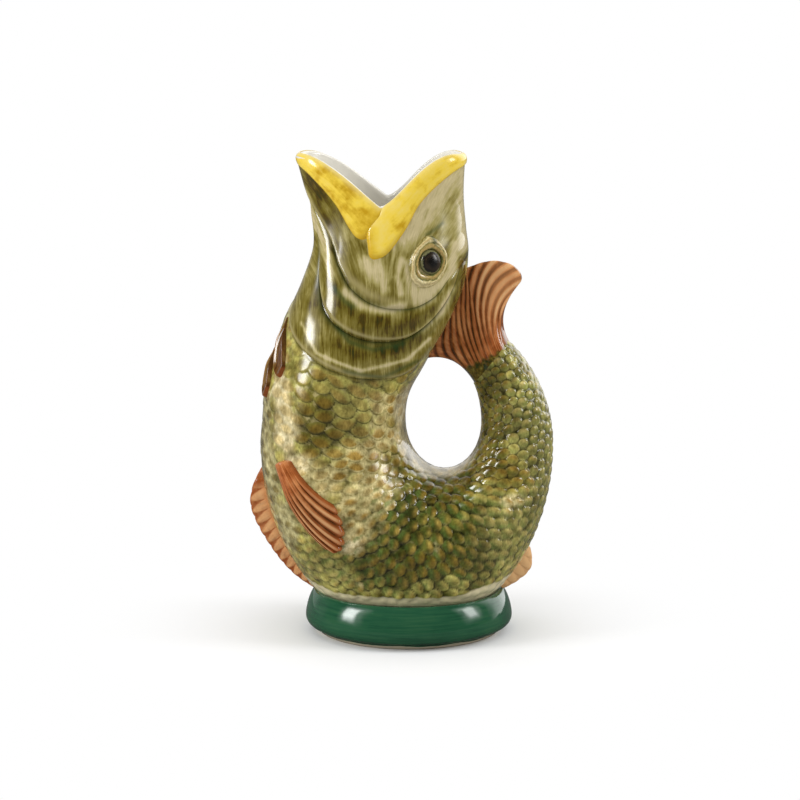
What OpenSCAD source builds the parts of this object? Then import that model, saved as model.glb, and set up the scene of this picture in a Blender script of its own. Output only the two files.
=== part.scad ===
// Gurgle jug: a hollow pottery fish that stands on a round foot. Its open mouth is the spout, and
// its tail curls up behind the head as the handle. Air held in the hollow tail makes the gurgle.
// The head points up, the breast faces -X, the tail rises on +X, and the fish's left side is -Y.
// The pieces are cast or pressed one by one and joined with slip before the glaze firing.

/* [Foot] */
// Radius of the foot where it stands on the table
foot_rest_r = 45.5; // [40:0.5:52]
// Radius of the foot at its round edge
foot_bulge_r = 52; // [46:0.5:62]
// Radius of the flat seat that carries the body
foot_seat_r = 47; // [42:0.5:56]
// Height of the foot up to the seat
foot_h = 20; // [16:0.5:26]
// Width of the standing ring
foot_ring_w = 8; // [5:0.5:12]
// Depth of the hollow under the foot
foot_hollow_h = 9; // [5:0.5:12]
// Distance of the foot's axis behind the middle of the jug's length
foot_x = 4.4; // [0:0.1:9]

/* [Body] */
// Length of the body and tail, from the breast to the back of the tail
body_l = 146.7; // [130:0.1:165]
// Width of the body at its widest
body_w = 92; // [76:1:108]
// Height of the body's longest level above the table
body_level = 95; // [88:0.5:104]
// Depth of the body's curve below its longest level, before the foot cuts it flat
belly_drop = 94.5; // [86:0.5:104]
// Rise of the tail's back above the body's longest level
tail_rise = 73; // [64:0.5:82]
// Distance of the body's middle behind the middle of the jug's length
body_x = 3.2; // [-2:0.1:8]
// Angle that the body and the tail turn round the grip hole
tail_turn = 232; // [222:1:238]
// Thickness of the fired wall
wall = 5; // [4:0.5:7]
// Thickness of the slip that joins one piece to the next
slip = 0.35; // [0.25:0.05:0.5]

/* [Grip hole] */
// Length of the hole that the fingers go through
hole_l = 38; // [32:1:44]
// Height of the hole's longest level above the table
hole_level = 107; // [100:0.5:114]
// Depth of the hole below that level
hole_drop = 25; // [22:0.5:32]
// Rise of the hole above that level
hole_rise = 32; // [26:0.5:38]
// Distance of the hole's middle behind the middle of the jug's length
hole_x = 21.6; // [17:0.1:28]

/* [Head] */
// Height from the grip hole's level to the tips of the jaws
head_rise = 133.5; // [115:0.5:150]
// Depth of the mouth's notch below the tips of the jaws
notch_h = 25; // [18:0.5:32]
// Height of the round edge of the mouth
rim_round_h = 1.6; // [1:0.1:2.5]
// Thickness of a lip at its middle
lip_t = 2.2; // [2:0.1:4.5]
// Thickness of a gill cover at its free rear edge
gill_t = 3.4; // [2:0.1:5]
// Thickness of a cheek plate at its free rear edge
cheek_t = 3; // [2:0.1:4.5]
// Thickness of the thin edges of lips, plates and fins
edge_t = 0.9; // [0.6:0.1:1.4]

/* [Eye] */
// Radius of the eye
eye_r = 6; // [4.5:0.1:7.5]
// Height of the eye's dome
eye_dome_h = 3.4; // [2.5:0.1:4.5]
// Length of the socket ring, from throat to nape
socket_l = 21; // [17:0.5:25]
// Height of the socket ring, drawn to a point at its top
socket_h = 26; // [21:0.5:31]
// Thickness of the socket ring
socket_t = 2.2; // [1.4:0.1:3.2]

/* [Fins] */
// Length of the lead in which the rays leave the end of the tail
tail_fin_lead = 18; // [12:0.5:24]
// Reach of the tail fin's tip behind the nape
tail_fin_reach = 31; // [20:0.5:34]
// Height of the tail fin's crown above its upper corners
tail_fin_crown = 5; // [2:0.5:8]
// Thickness of the tail fin at its edge
tail_fin_edge_t = 5; // [3:0.5:7]
// Height of the rays on every fin
ray_h = 0.7; // [0.3:0.1:1.2]
// Height of the front fin off the breast
front_fin_h = 9; // [6:0.5:12]
// Height of the rear fin off the underside of the tail
rear_fin_h = 6.5; // [4:0.5:9]
// Thickness of the front and rear fins at their roots
keel_fin_t = 5; // [3:0.5:7]
// Thickness of the side fins at their roots
side_fin_t = 4.6; // [3:0.2:6]
// Thickness of the throat fins and breast fins at their middles
throat_fin_t = 3.6; // [2.4:0.2:5]

/* [Hidden] */
$fn = 96;

// Glaze colours
foot_green = [0.07, 0.25, 0.22];
scale_olive = [0.47, 0.45, 0.22];
head_olive = [0.50, 0.48, 0.20];
lip_yellow = [0.80, 0.66, 0.20];
gill_green = [0.36, 0.38, 0.15];
fin_rust = [0.66, 0.33, 0.16];
throat_brown = [0.33, 0.17, 0.07];
socket_cream = [0.76, 0.70, 0.48];
eye_black = [0.05, 0.05, 0.04];

// Counts of facets: columns round the shells, and rings along them
columns = 44;
head_rings = 12;
head_inner_rings = 7;
belly_rings = 18;
belly_inner_rings = 9;
tail_rings = 11;
tail_inner_rings = 7;

// Places along the fish: a head place is minus its share of head_rise, a body and tail place is
// its share of tail_turn, and the grip hole's level is place 0.
neck_joint_share = -0.15;
tail_joint_share = 0.595;
tail_floor_share = 0.965;

// Head sections. Each row holds the height as a share of head_rise, the throat as a share of its
// reach from the hole's middle, the nape as a share of half hole_l, the width as a share of body_w.
head_shares = [
    [-0.10, 1.011, 0.868, 0.967],
    [0.00, 1.000, 1.000, 0.957],
    [0.10, 0.991, 0.905, 0.946],
    [0.20, 0.958, 0.542, 0.935],
    [0.39, 0.872, -0.184, 0.870],
    [0.52, 0.772, -0.547, 0.804],
    [0.64, 0.707, -0.647, 0.728],
    [0.72, 0.703, -0.589, 0.663],
    [0.85, 0.744, -0.516, 0.565],
    [1.00, 0.812, -0.558, 0.511]
];

// Body and tail sections: share of tail_turn, and width as a share of body_w
tail_shares = [
    [0.000, 0.957],
    [0.194, 1.000],
    [0.388, 0.957],
    [0.517, 0.783],
    [0.647, 0.565],
    [0.776, 0.435],
    [1.000, 0.283]
];

// Head plates, from the chin to the nape. Each row holds the row's own share of the way, then a
// height share and an angle from the nape for the cheek's front edge, the line where the cheek
// ends on the gill cover, and the gill cover's rear edge.
plate_shares = [
    [0.00, 0.84, 161, 0.85, 167, 0.76, 171],
    [0.11, 0.77, 148, 0.75, 159, 0.65, 169],
    [0.22, 0.70, 137, 0.66, 153, 0.53, 165],
    [0.33, 0.62, 128, 0.56, 142, 0.41, 156],
    [0.44, 0.54, 112, 0.46, 125, 0.33, 137],
    [0.56, 0.49, 95, 0.385, 103, 0.246, 104],
    [0.67, 0.465, 78, 0.345, 78, 0.205, 72],
    [0.78, 0.465, 60, 0.355, 53, 0.213, 36],
    [0.89, 0.50, 46, 0.44, 36, 0.340, 16],
    [1.00, 0.56, 37, 0.60, 24, 0.620, 12]
];

// Columns of plate_shares where the three edge lines start
cheek_front_column = 1;
plate_joint_column = 3;
gill_rear_column = 5;

// Half of each lip, from the middle of its jaw to the corner of the mouth. Each row holds the
// row's share of the way, the upper edge's angle from the nape and drop below the rim, and the
// lower edge's angle and height share.
upper_lip_shares = [
    [0.00, 0, 0.012, 0, 0.955],
    [0.16, 30, 0.012, 26, 0.935],
    [0.30, 45, 0.012, 45, 0.900],
    [0.44, 63, 0.012, 62, 0.832],
    [0.58, 75, 0.012, 73, 0.757],
    [0.72, 87, 0.012, 84, 0.690],
    [0.84, 94, 0.030, 92, 0.648],
    [0.93, 101, 0.088, 99, 0.634],
    [1.00, 106, 0.150, 104, 0.645]
];
lower_lip_shares = [
    [0.00, 180, 0.012, 180, 0.955],
    [0.20, 158, 0.012, 157, 0.935],
    [0.40, 140, 0.012, 141, 0.893],
    [0.60, 123, 0.012, 128, 0.826],
    [0.78, 109, 0.012, 121, 0.752],
    [0.90, 101, 0.012, 116, 0.715],
    [1.00, 95, 0.012, 111, 0.713]
];

// Fins that lie on the skin. Each row holds the ray's share of the fan, its root's place and angle
// from the nape, and its tip's place and angle.
side_fin_shares = [
    [0.00, 0.050, 134, 0.200, 113],
    [0.25, 0.048, 130, 0.222, 107],
    [0.50, 0.046, 126, 0.222, 100],
    [0.75, 0.046, 122, 0.194, 94],
    [1.00, 0.048, 118, 0.148, 94]
];
throat_fin_shares = [
    [0.00, -0.400, 163, -0.225, 153],
    [0.33, -0.403, 162, -0.195, 146],
    [0.67, -0.403, 161, -0.190, 141],
    [1.00, -0.400, 160, -0.225, 139]
];
breast_fin_shares = [
    [0.00, -0.280, 174, -0.135, 167],
    [0.50, -0.280, 171, -0.100, 158],
    [1.00, -0.280, 168, -0.140, 154]
];
// How far the middle of a leaf swells past its straight sides, as a share of its width
leaf_swell_share = 0.5;

// Keel fins on the midline: share of the fin's length, height share, and backward lean as a share
front_fin_shares = [
    [0.00, 0.08, 0.1],
    [0.14, 0.84, 0.2],
    [0.24, 1.12, 0.35],
    [0.55, 0.85, 0.5],
    [0.80, 0.55, 0.5],
    [1.00, 0.15, 0.4]
];
rear_fin_shares = [
    [0.00, 0.30, -0.4],
    [0.35, 0.80, -0.3],
    [0.70, 1.00, -0.2],
    [1.00, 0.15, 0.0]
];
front_fin_span_shares = [0.056, 0.222];
rear_fin_span_shares = [0.470, 0.535];

// Tail fin: where its left edge lies along the nape, the direction of its lead, and its ray count
tail_fin_nape_shares = [0.235, 0.575];
tail_fin_nape_part_share = 0.6;
tail_fin_lead_turn = 68;
tail_fin_rays = 18;
tail_fin_steps = 8;
// How far every other ray stops short of a fin's edge, as a share of the ray
fin_tooth_share = 0.012;

// Eye: height share and angle from the nape, and how far its socket is drawn to a point
eye_share = 0.625;
eye_turn = 57;
socket_point_share = 0.34;
socket_columns = 24;
socket_rows = 4;

// Foot: how full its round edge is
foot_steps = 10;

full_turn = 360;
function mix(a, b, t) = a + (b - a) * t;

// The row of a table that holds x, and a smooth curve through column c of the table
function row_of(rows, x, i = 0) = i >= len(rows) - 2 || x <= rows[i + 1][0] ? i : row_of(rows, x, i + 1);
function rate(rows, k, c) =
    let (a = max(k - 1, 0), b = min(k + 1, len(rows) - 1))
    (rows[b][c] - rows[a][c]) / (rows[b][0] - rows[a][0]);
function curve(rows, x, c) =
    let (i = row_of(rows, x), d = rows[i + 1][0] - rows[i][0], t = (x - rows[i][0]) / d)
    (2 * t ^ 3 - 3 * t ^ 2 + 1) * rows[i][c] + (t ^ 3 - 2 * t ^ 2 + t) * rate(rows, i, c) * d
        + (3 * t ^ 2 - 2 * t ^ 3) * rows[i + 1][c] + (t ^ 3 - t ^ 2) * rate(rows, i + 1, c) * d;

// Distance from the hole's middle to the edge of the grip hole, in the direction turn
function hole_reach(turn) =
    let (a = hole_l / 2, b = sin(turn) > 0 ? hole_rise : hole_drop)
    a * b / norm([b * cos(turn), a * sin(turn)]);

// Distance from the hole's middle to the outline of the body: a half ellipse below its longest
// level and a flatter one above it
function outline_hit(turn, b) =
    let (a = body_l / 2, x = hole_x - body_x, z = hole_level - body_level,
        k = (cos(turn) / a) ^ 2 + (sin(turn) / b) ^ 2,
        m = x * cos(turn) / a ^ 2 + z * sin(turn) / b ^ 2,
        n = (x / a) ^ 2 + (z / b) ^ 2 - 1)
    (sqrt(m ^ 2 - k * n) - m) / k;
function outline_reach(turn) =
    let (low = outline_hit(turn, belly_drop))
    hole_level + low * sin(turn) < body_level ? low : outline_hit(turn, tail_rise);

// One section at a place along the fish: its nape or inner point, its throat or outer point (both
// as [x, z]), and its half width
function spoke(reach, turn) = [hole_x + reach * cos(turn), hole_level + reach * sin(turn)];
function turn_of(place) = 180 + tail_turn * place;
function nape(place) = place <= 0
    ? [hole_x - hole_l / 2 * curve(head_shares, -place, 2), hole_level - head_rise * place]
    : spoke(hole_reach(turn_of(place)), turn_of(place));
function throat(place) = place <= 0
    ? [hole_x - outline_reach(180) * curve(head_shares, -place, 1), hole_level - head_rise * place]
    : spoke(outline_reach(turn_of(place)), turn_of(place));
function half_width(place) = body_w / 2
    * (place <= 0 ? curve(head_shares, -place, 3) : curve(tail_shares, place, 1));

// A point of the skin, inset by a depth: angle 0 is the nape, 90 the fish's right side, 180 the
// throat. The foot's seat cuts the belly flat.
function skin(place, angle, inset = 0) =
    let (p = nape(place), q = throat(place), d = (q - p) / norm(q - p) * inset,
        middle = (p + q) / 2, half = (p - q) / 2 + d, edge = middle + half * cos(angle))
    [edge.x, (half_width(place) - inset) * sin(angle), max(edge.y, foot_h + inset)];

// The outward direction of the skin, and a point raised off the skin
probe_share = 0.004;
probe_turn = 1;
function unit(v) = v / norm(v);
function along_skin(place, angle) = skin(place + probe_share, angle) - skin(place - probe_share, angle);
function round_skin(place, angle) = skin(place, angle + probe_turn) - skin(place, angle - probe_turn);
function outward(place, angle) = unit(cross(along_skin(place, angle), round_skin(place, angle)));
function raised(place, angle, h) = skin(place, angle) + outward(place, angle) * h;

// Height of the mouth's rim as a share of head_rise. The notch at each corner of the mouth lies a
// little nearer to the lower jaw, and the upper jaw's edge sags more.
notch_shift_share = 0.05;
upper_sag = 1.55;
lower_sag = 1.15;
function rim_share(angle) =
    let (c = cos(angle) + notch_shift_share)
    1 - notch_h / head_rise * (1 - sin(90 * min(abs(c), 1)) ^ (c > 0 ? upper_sag : lower_sag));

// One ring of points round a shell
function ring(place, inset) = [for (k = [0:columns - 1]) skin(place, full_turn * k / columns, inset)];
function head_ring(t, inset, lift = 0) = [
    for (k = [0:columns - 1])
        let (a = full_turn * k / columns)
        skin(-mix(-neck_joint_share, rim_share(a), t), a, inset) + [0, 0, lift]
];

// Shell made of rings: down the inside, round the joint, up the outside and back to the start
module shell(rings) {
    n = len(rings);
    polyhedron(
        [for (r = rings) each r],
        [
            for (i = [0:n - 1], k = [0:columns - 1])
                let (a = i * columns, b = (i + 1) % n * columns, m = (k + 1) % columns)
                each [[a + k, b + k, b + m], [a + k, b + m, a + m]]
        ]
    );
}

// Shell closed at its far end by an outer and an inner floor: up the outside, then down the inside
module closed_shell(outer, inner) {
    rings = [each outer, each inner];
    n = len(rings);
    ends = n * columns;
    polyhedron(
        [
            for (r = rings) each r,
            (rings[0][0] + rings[0][columns / 2]) / 2,
            (rings[n - 1][0] + rings[n - 1][columns / 2]) / 2
        ],
        [
            for (i = [0:n - 2], k = [0:columns - 1])
                let (a = i * columns, b = (i + 1) * columns, m = (k + 1) % columns)
                each [[a + k, b + k, b + m], [a + k, b + m, a + m]],
            for (k = [0:columns - 1])
                let (m = (k + 1) % columns)
                each [[ends, k, m], [ends + 1, (n - 1) * columns + m, (n - 1) * columns + k]]
        ]
    );
}

// Solid between an upper and a lower grid of points, open-ended or closed into a loop
module plate(top, base, loop = false) {
    n = len(top);
    m = len(top[0]);
    last = loop ? n - 1 : n - 2;
    polyhedron(
        [for (r = top) each r, for (r = base) each r],
        [
            for (i = [0:last], j = [0:m - 2])
                let (a = i * m + j, b = (i + 1) % n * m + j, o = n * m)
                each [
                    [a, a + 1, b + 1], [a, b + 1, b],
                    [o + a, o + b + 1, o + a + 1], [o + a, o + b, o + b + 1]
                ],
            for (i = [0:last])
                let (a = i * m, b = (i + 1) % n * m, o = n * m, e = m - 1)
                each [
                    [a, b, o + b], [a, o + b, o + a],
                    [b + e, a + e, o + a + e], [b + e, o + a + e, o + b + e]
                ],
            if (!loop)
                for (j = [0:m - 2])
                    let (o = n * m, b = (n - 1) * m)
                    each [
                        [j + 1, j, o + j], [j + 1, o + j, o + j + 1],
                        [b + j, b + j + 1, o + b + j + 1], [b + j, o + b + j + 1, o + b + j]
                    ]
        ]
    );
}

// Plate on the skin: a grid of [place, angle, thickness] points
module skin_plate(grid, loop = false) {
    plate(
        [for (r = grid) [for (p = r) raised(p[0], p[1], slip + p[2])]],
        [for (r = grid) [for (p = r) raised(p[0], p[1], slip)]],
        loop
    );
}

// A piece made for the fish's right side, as the left one
module on_left() {
    mirror([0, 1, 0]) children();
}

module foot() {
    edge = foot_bulge_r - foot_seat_r;
    color(foot_green) translate([foot_x, 0, 0]) rotate_extrude() polygon([
        [0, foot_hollow_h],
        [foot_rest_r - foot_ring_w - foot_hollow_h / 2, foot_hollow_h],
        [foot_rest_r - foot_ring_w, foot_hollow_h / 2],
        [foot_rest_r - foot_ring_w, 0],
        for (i = [0:foot_steps])
            let (a = 90 * i / foot_steps - 90)
            [foot_rest_r + (foot_bulge_r - foot_rest_r) * cos(a), foot_h / 2 * (1 + sin(a))],
        for (i = [1:foot_steps])
            let (a = 90 * i / foot_steps)
            [foot_seat_r + edge * cos(a), foot_h / 2 * (1 + sin(a))],
        [0, foot_h]
    ]);
}

module belly_shell() {
    color(scale_olive) shell([
        for (i = [0:belly_inner_rings])
            ring(mix(neck_joint_share, tail_joint_share, i / belly_inner_rings), wall),
        for (i = [belly_rings:-1:0]) ring(mix(neck_joint_share, tail_joint_share, i / belly_rings), 0)
    ]);
}

module head_shell() {
    color(head_olive) shell([
        for (i = [head_inner_rings:-1:0]) head_ring(i / head_inner_rings, wall),
        for (i = [0:head_rings]) head_ring(i / head_rings, 0),
        head_ring(1, wall / 2, rim_round_h)
    ]);
}

module tail_shell() {
    color(scale_olive) closed_shell(
        [for (i = [tail_rings:-1:0]) ring(mix(tail_joint_share, 1, i / tail_rings), 0)],
        [
            for (i = [0:tail_inner_rings])
                ring(mix(tail_joint_share, tail_floor_share, i / tail_inner_rings), wall)
        ]
    );
}

// A ray of the tail fin leaves the end of the tail along the lead and bends to the fin's edge. The
// edge follows the nape first, then rises over the crown to the tip.
function tail_fin_corner(t) = nape(-mix(tail_fin_nape_shares[0], tail_fin_nape_shares[1], t)) + [slip * 2, 0];
function tail_fin_edge(t) =
    let (part = tail_fin_nape_part_share, s = t / part, c = (t - part) / (1 - part))
    s <= 1 ? tail_fin_corner(s)
           : tail_fin_corner(1) + [tail_fin_reach * c, tail_fin_crown * sin(180 * c)
               - tail_fin_crown * c / 2];
function tail_fin_root(t) =
    mix(nape(1), throat(1), t) + slip * [cos(turn_of(1) + 90), sin(turn_of(1) + 90)];
function tail_fin_ray(t, s) =
    let (a = tail_fin_root(t), turn = turn_of(1) + tail_fin_lead_turn,
        b = a + tail_fin_lead * [cos(turn), sin(turn)], e = tail_fin_edge(t))
    (1 - s) ^ 2 * a + 2 * s * (1 - s) * b + s ^ 2 * e;
function tail_fin_half_t(t, s) =
    let (round_t = half_width(1) * sqrt(1 - (2 * t - 1) ^ 2))
    mix(max(round_t, tail_fin_edge_t / 2), tail_fin_edge_t / 2, sin(90 * s));

module tail_fin() {
    grid = [
        for (i = [0:tail_fin_rays])
            [
                for (j = [0:tail_fin_steps])
                    let (t = i / tail_fin_rays, s = j / tail_fin_steps,
                        crown = t > tail_fin_nape_part_share && t < 1 ? fin_tooth_share : 0,
                        p = tail_fin_ray(t, s * (1 - crown * (i % 2))),
                        h = tail_fin_half_t(t, s) + ray_h * (i % 2) * sin(180 * s))
                    [p.x, -h, p.y]
            ]
    ];
    color(fin_rust) plate(grid, [for (r = grid) [for (p = r) [p.x, -p.y, p.z]]]);
}

// Half a lip as columns across its band, thickest in the middle
lip_columns = 14;
lip_rows = 5;
function lip_column(rows, t) =
    let (a = curve(rows, t, 1), u = rim_share(a) - curve(rows, t, 2))
    [
        for (j = [0:lip_rows])
            let (s = j / lip_rows)
            [-mix(curve(rows, t, 4), u, s), mix(curve(rows, t, 3), a, s), mix(edge_t, lip_t, sin(180 * s))]
    ];
function other_side(column) = [for (p = column) [p[0], -p[1], p[2]]];
function lip(rows) = [
    for (i = [lip_columns:-1:1]) other_side(lip_column(rows, i / lip_columns)),
    for (i = [0:lip_columns]) lip_column(rows, i / lip_columns)
];

module upper_lip() {
    color(lip_yellow) skin_plate(lip(upper_lip_shares));
}

// The lower lip's far half runs on past the chin, so its angles are taken from a full turn
module lower_lip() {
    half = [for (i = [0:lip_columns]) lip_column(lower_lip_shares, i / lip_columns)];
    color(lip_yellow) skin_plate([
        for (i = [lip_columns:-1:1]) half[i],
        for (c = half) [for (p = c) [p[0], full_turn - p[1], p[2]]]
    ]);
}

// A head plate between two edge lines of plate_shares, thin in front and thick behind
plate_columns = 30;
plate_rows = 4;
// How much thinner a plate is at its two ends, as a share of its thickness
plate_end_share = 0.4;
function head_plate(front, rear, start, thick) = [
    for (i = [0:plate_columns])
        [
            for (j = [0:plate_rows])
                let (t = i / plate_columns, s = mix(start, 1, j / plate_rows),
                    ends = mix(plate_end_share, 1, sin(180 * t)))
                [
                    -mix(curve(plate_shares, t, front), curve(plate_shares, t, rear), s),
                    mix(curve(plate_shares, t, front + 1), curve(plate_shares, t, rear + 1), s),
                    mix(edge_t, thick, j / plate_rows) * ends
                ]
        ]
];
// How far behind the cheek's rear edge the gill cover starts, as a share of the gill cover
gill_start_share = 0.045;

module gill_cover() {
    color(gill_green) skin_plate(head_plate(plate_joint_column, gill_rear_column, gill_start_share, gill_t));
}

module cheek() {
    color(head_olive) skin_plate(head_plate(cheek_front_column, plate_joint_column, 0, cheek_t));
}

module right_gill_cover() {
    gill_cover();
}

module left_gill_cover() {
    on_left() gill_cover();
}

module right_cheek() {
    cheek();
}

module left_cheek() {
    on_left() cheek();
}

// Millimetres of skin per degree at the eye
eye_arc = norm(round_skin(-eye_share, eye_turn)) / (2 * probe_turn);
// A point of the socket, round the eye, at a share of the way from the eye to the socket's edge
function socket_point(turn, s) =
    let (point = 1 - socket_point_share * max(0, sin(turn)) ^ 2,
        x = mix(eye_r + 2 * slip, socket_l / 2, s) * cos(turn) * mix(1, point, s),
        z = mix(eye_r + 2 * slip, socket_h / 2, s) * sin(turn))
    [-eye_share - z / head_rise, eye_turn + x / eye_arc];

module eye_socket() {
    color(socket_cream) skin_plate([
        for (k = [0:socket_columns - 1])
            [
                for (j = [0:socket_rows])
                    let (s = j / socket_rows, p = socket_point(-full_turn * k / socket_columns, s))
                    [p[0], p[1], mix(edge_t, socket_t, sin(180 * s))]
            ]
    ], true);
}

// The eye: a dome cut from a ball, bedded on the skin inside the socket
module eye() {
    d = outward(-eye_share, eye_turn);
    ball_r = (eye_r ^ 2 + eye_dome_h ^ 2) / (2 * eye_dome_h);
    bed = slip + eye_r ^ 2 / body_w;
    color(eye_black) translate(raised(-eye_share, eye_turn, bed))
        rotate([0, acos(d.z), atan2(d.y, d.x)]) intersection() {
            translate([0, 0, eye_dome_h - ball_r]) sphere(r = ball_r);
            cylinder(r = ball_r, h = ball_r);
        }
}

module right_eye_socket() {
    eye_socket();
}

module left_eye_socket() {
    on_left() eye_socket();
}

module right_eye() {
    eye();
}

module left_eye() {
    on_left() eye();
}

// A fin that lies on the skin: rays fan from the root to the tips, a leaf also swells in between
fin_rays = 12;
fin_steps = 8;
leaf_rays = 8;
leaf_steps = 7;
function skin_fin(rows, swell, thick, rays, steps) = [
    for (i = [0:rays])
        [
            for (j = [0:steps])
                let (t = i / rays, s = j / steps,
                    wide = 1 + swell * sin(180 * s), centre = curve(rows, 0.5, 2) * (1 - s)
                        + curve(rows, 0.5, 4) * s,
                    a = mix(curve(rows, t, 2), curve(rows, t, 4), s),
                    side = sin(180 * t), h = mix(thick, thick / 2, s))
                [
                    mix(curve(rows, t, 1), curve(rows, t, 3), s),
                    centre + (a - centre) * wide,
                    mix(edge_t, h, side) + ray_h * (i % 2) * side
                ]
        ]
];

module side_fin() {
    color(fin_rust) skin_plate(skin_fin(side_fin_shares, 0, side_fin_t, fin_rays, fin_steps));
}

module leaf_fin(rows) {
    color(throat_brown)
        skin_plate(skin_fin(rows, leaf_swell_share, throat_fin_t, leaf_rays, leaf_steps));
}

module throat_fin() {
    leaf_fin(throat_fin_shares);
}

module breast_fin() {
    leaf_fin(breast_fin_shares);
}

module right_side_fin() {
    side_fin();
}

module left_side_fin() {
    on_left() side_fin();
}

module right_throat_fin() {
    throat_fin();
}

module left_throat_fin() {
    on_left() throat_fin();
}

module right_breast_fin() {
    breast_fin();
}

module left_breast_fin() {
    on_left() breast_fin();
}

// A fin on the midline of the underside: its rays stand off the skin and lean towards the tail
keel_steps = 4;
module keel_fin(rows, span, h) {
    grid = [
        for (i = [0:fin_rays])
            [
                for (j = [0:keel_steps])
                    let (t = i / fin_rays, s = j / keel_steps, place = mix(span[0], span[1], t),
                        back = unit(along_skin(place, 180)),
                        reach = h * curve(rows, t, 1) * (1 - fin_tooth_share * (i % 2)) * s,
                        p = raised(place, 180, slip + reach) + back * (reach * curve(rows, t, 2)),
                        half = mix(keel_fin_t, edge_t, s) / 2 + ray_h / 2 * (i % 2) * sin(180 * s))
                    [p.x, half, p.z]
            ]
    ];
    color(fin_rust) plate(grid, [for (r = grid) [for (p = r) [p.x, -p.y, p.z]]]);
}

module front_fin() {
    keel_fin(front_fin_shares, front_fin_span_shares, front_fin_h);
}

module rear_fin() {
    keel_fin(rear_fin_shares, rear_fin_span_shares, rear_fin_h);
}

foot();
belly_shell();
head_shell();
tail_shell();
tail_fin();
lower_lip();
upper_lip();
left_gill_cover();
right_gill_cover();
left_cheek();
right_cheek();
left_eye_socket();
right_eye_socket();
left_eye();
right_eye();
left_throat_fin();
right_throat_fin();
left_breast_fin();
right_breast_fin();
left_side_fin();
right_side_fin();
front_fin();
rear_fin();
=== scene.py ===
"""Looks of the gurgle jug: a glazed pottery fish that stands on a round foot, its tail the handle.

Lengths are in metres, in the frame of the solids: +Z up, the breast to -X, the fish's left to -Y.
"""

import math

import bpy
import numpy as np
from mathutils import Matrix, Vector, kdtree


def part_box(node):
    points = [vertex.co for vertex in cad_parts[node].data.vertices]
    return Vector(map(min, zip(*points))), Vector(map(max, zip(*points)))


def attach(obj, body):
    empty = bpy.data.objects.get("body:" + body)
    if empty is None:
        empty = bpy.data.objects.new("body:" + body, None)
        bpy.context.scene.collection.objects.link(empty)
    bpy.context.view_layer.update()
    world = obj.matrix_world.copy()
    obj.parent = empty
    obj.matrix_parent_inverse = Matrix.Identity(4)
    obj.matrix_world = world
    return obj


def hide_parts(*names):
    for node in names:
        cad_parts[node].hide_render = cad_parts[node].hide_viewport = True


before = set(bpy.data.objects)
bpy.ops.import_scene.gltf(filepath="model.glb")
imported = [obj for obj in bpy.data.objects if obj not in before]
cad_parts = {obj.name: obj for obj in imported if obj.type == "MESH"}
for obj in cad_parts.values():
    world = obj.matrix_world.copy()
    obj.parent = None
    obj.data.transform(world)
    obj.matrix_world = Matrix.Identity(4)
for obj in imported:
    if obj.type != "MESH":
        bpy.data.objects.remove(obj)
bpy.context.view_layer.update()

# Foot: a thick round base of white clay, thrown with a hollow underneath. Its green glaze is brushed
# on in level strokes and stops at the standing ring, which stays bare so that it doesn't stick in
# the kiln.
MM = 0.001
foot_low, foot_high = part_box("foot")
foot_x = (foot_low.x + foot_high.x) / 2
foot_h = foot_high.z
foot_bulge_r = foot_high.x - foot_x
foot_rest_r = 45.5 * MM
foot_seat_r = 47 * MM
foot_ring_w = 8 * MM
foot_hollow_h = 9 * MM
foot_columns = 192
foot_arc_steps = 14
foot_lip_r = 1.2 * MM
foot_brim_h = 1.8 * MM
foot_brim_w = 3.5 * MM
foot_bulge_z = 8.2 * MM
foot_step_h = 3.0 * MM
foot_step_w = 1.8 * MM
foot_flare = 1.3
foot_bare_h = 2.7 * MM
glaze_ior = 1.52
glaze_shine_patch = 9 * MM
glaze_swell = 7 * MM
glaze_swell_h = 0.4 * MM
foot_stroke = 1.2 * MM
foot_wash = 22 * MM
foot_green = (0.017, 0.088, 0.041, 1)
foot_green_thin = (0.028, 0.106, 0.048, 1)
foot_green_deep = (0.012, 0.066, 0.032, 1)
bare_clay = (0.62, 0.54, 0.40, 1)


def only(piece):
    """Selects one piece and nothing else."""
    bpy.ops.object.select_all(action="DESELECT")
    piece.select_set(True)
    bpy.context.view_layer.objects.active = piece


def close_up(piece, gap=0.02 * MM):
    """Merges the seams of a piece, closes its ends and turns its faces outwards."""
    only(piece)
    bpy.ops.object.mode_set(mode="EDIT")
    bpy.ops.mesh.select_all(action="SELECT")
    bpy.ops.mesh.remove_doubles(threshold=gap)
    bpy.ops.mesh.fill_holes(sides=0)
    bpy.ops.mesh.select_all(action="SELECT")
    bpy.ops.mesh.normals_make_consistent(inside=False)
    bpy.ops.object.mode_set(mode="OBJECT")


def dress(piece, glaze, slot, *nodes, sharp=50):
    """Gives a finished piece its glaze and puts it in the place of its solids."""
    only(piece)
    bpy.ops.object.shade_smooth_by_angle(angle=math.radians(sharp))
    piece.data.materials.clear()
    piece.data.materials.append(glaze)
    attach(piece, "root")
    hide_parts(*nodes)


def node(glaze, kind, inputs=None, **settings):
    """Adds a node to a glaze; an input is a value or another node's socket."""
    made = glaze.node_tree.nodes.new(kind)
    for key, value in settings.items():
        setattr(made, key, value)
    for key, value in (inputs or {}).items():
        if isinstance(value, bpy.types.NodeSocket):
            glaze.node_tree.links.new(value, made.inputs[key])
        else:
            made.inputs[key].default_value = value
    return made


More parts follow.
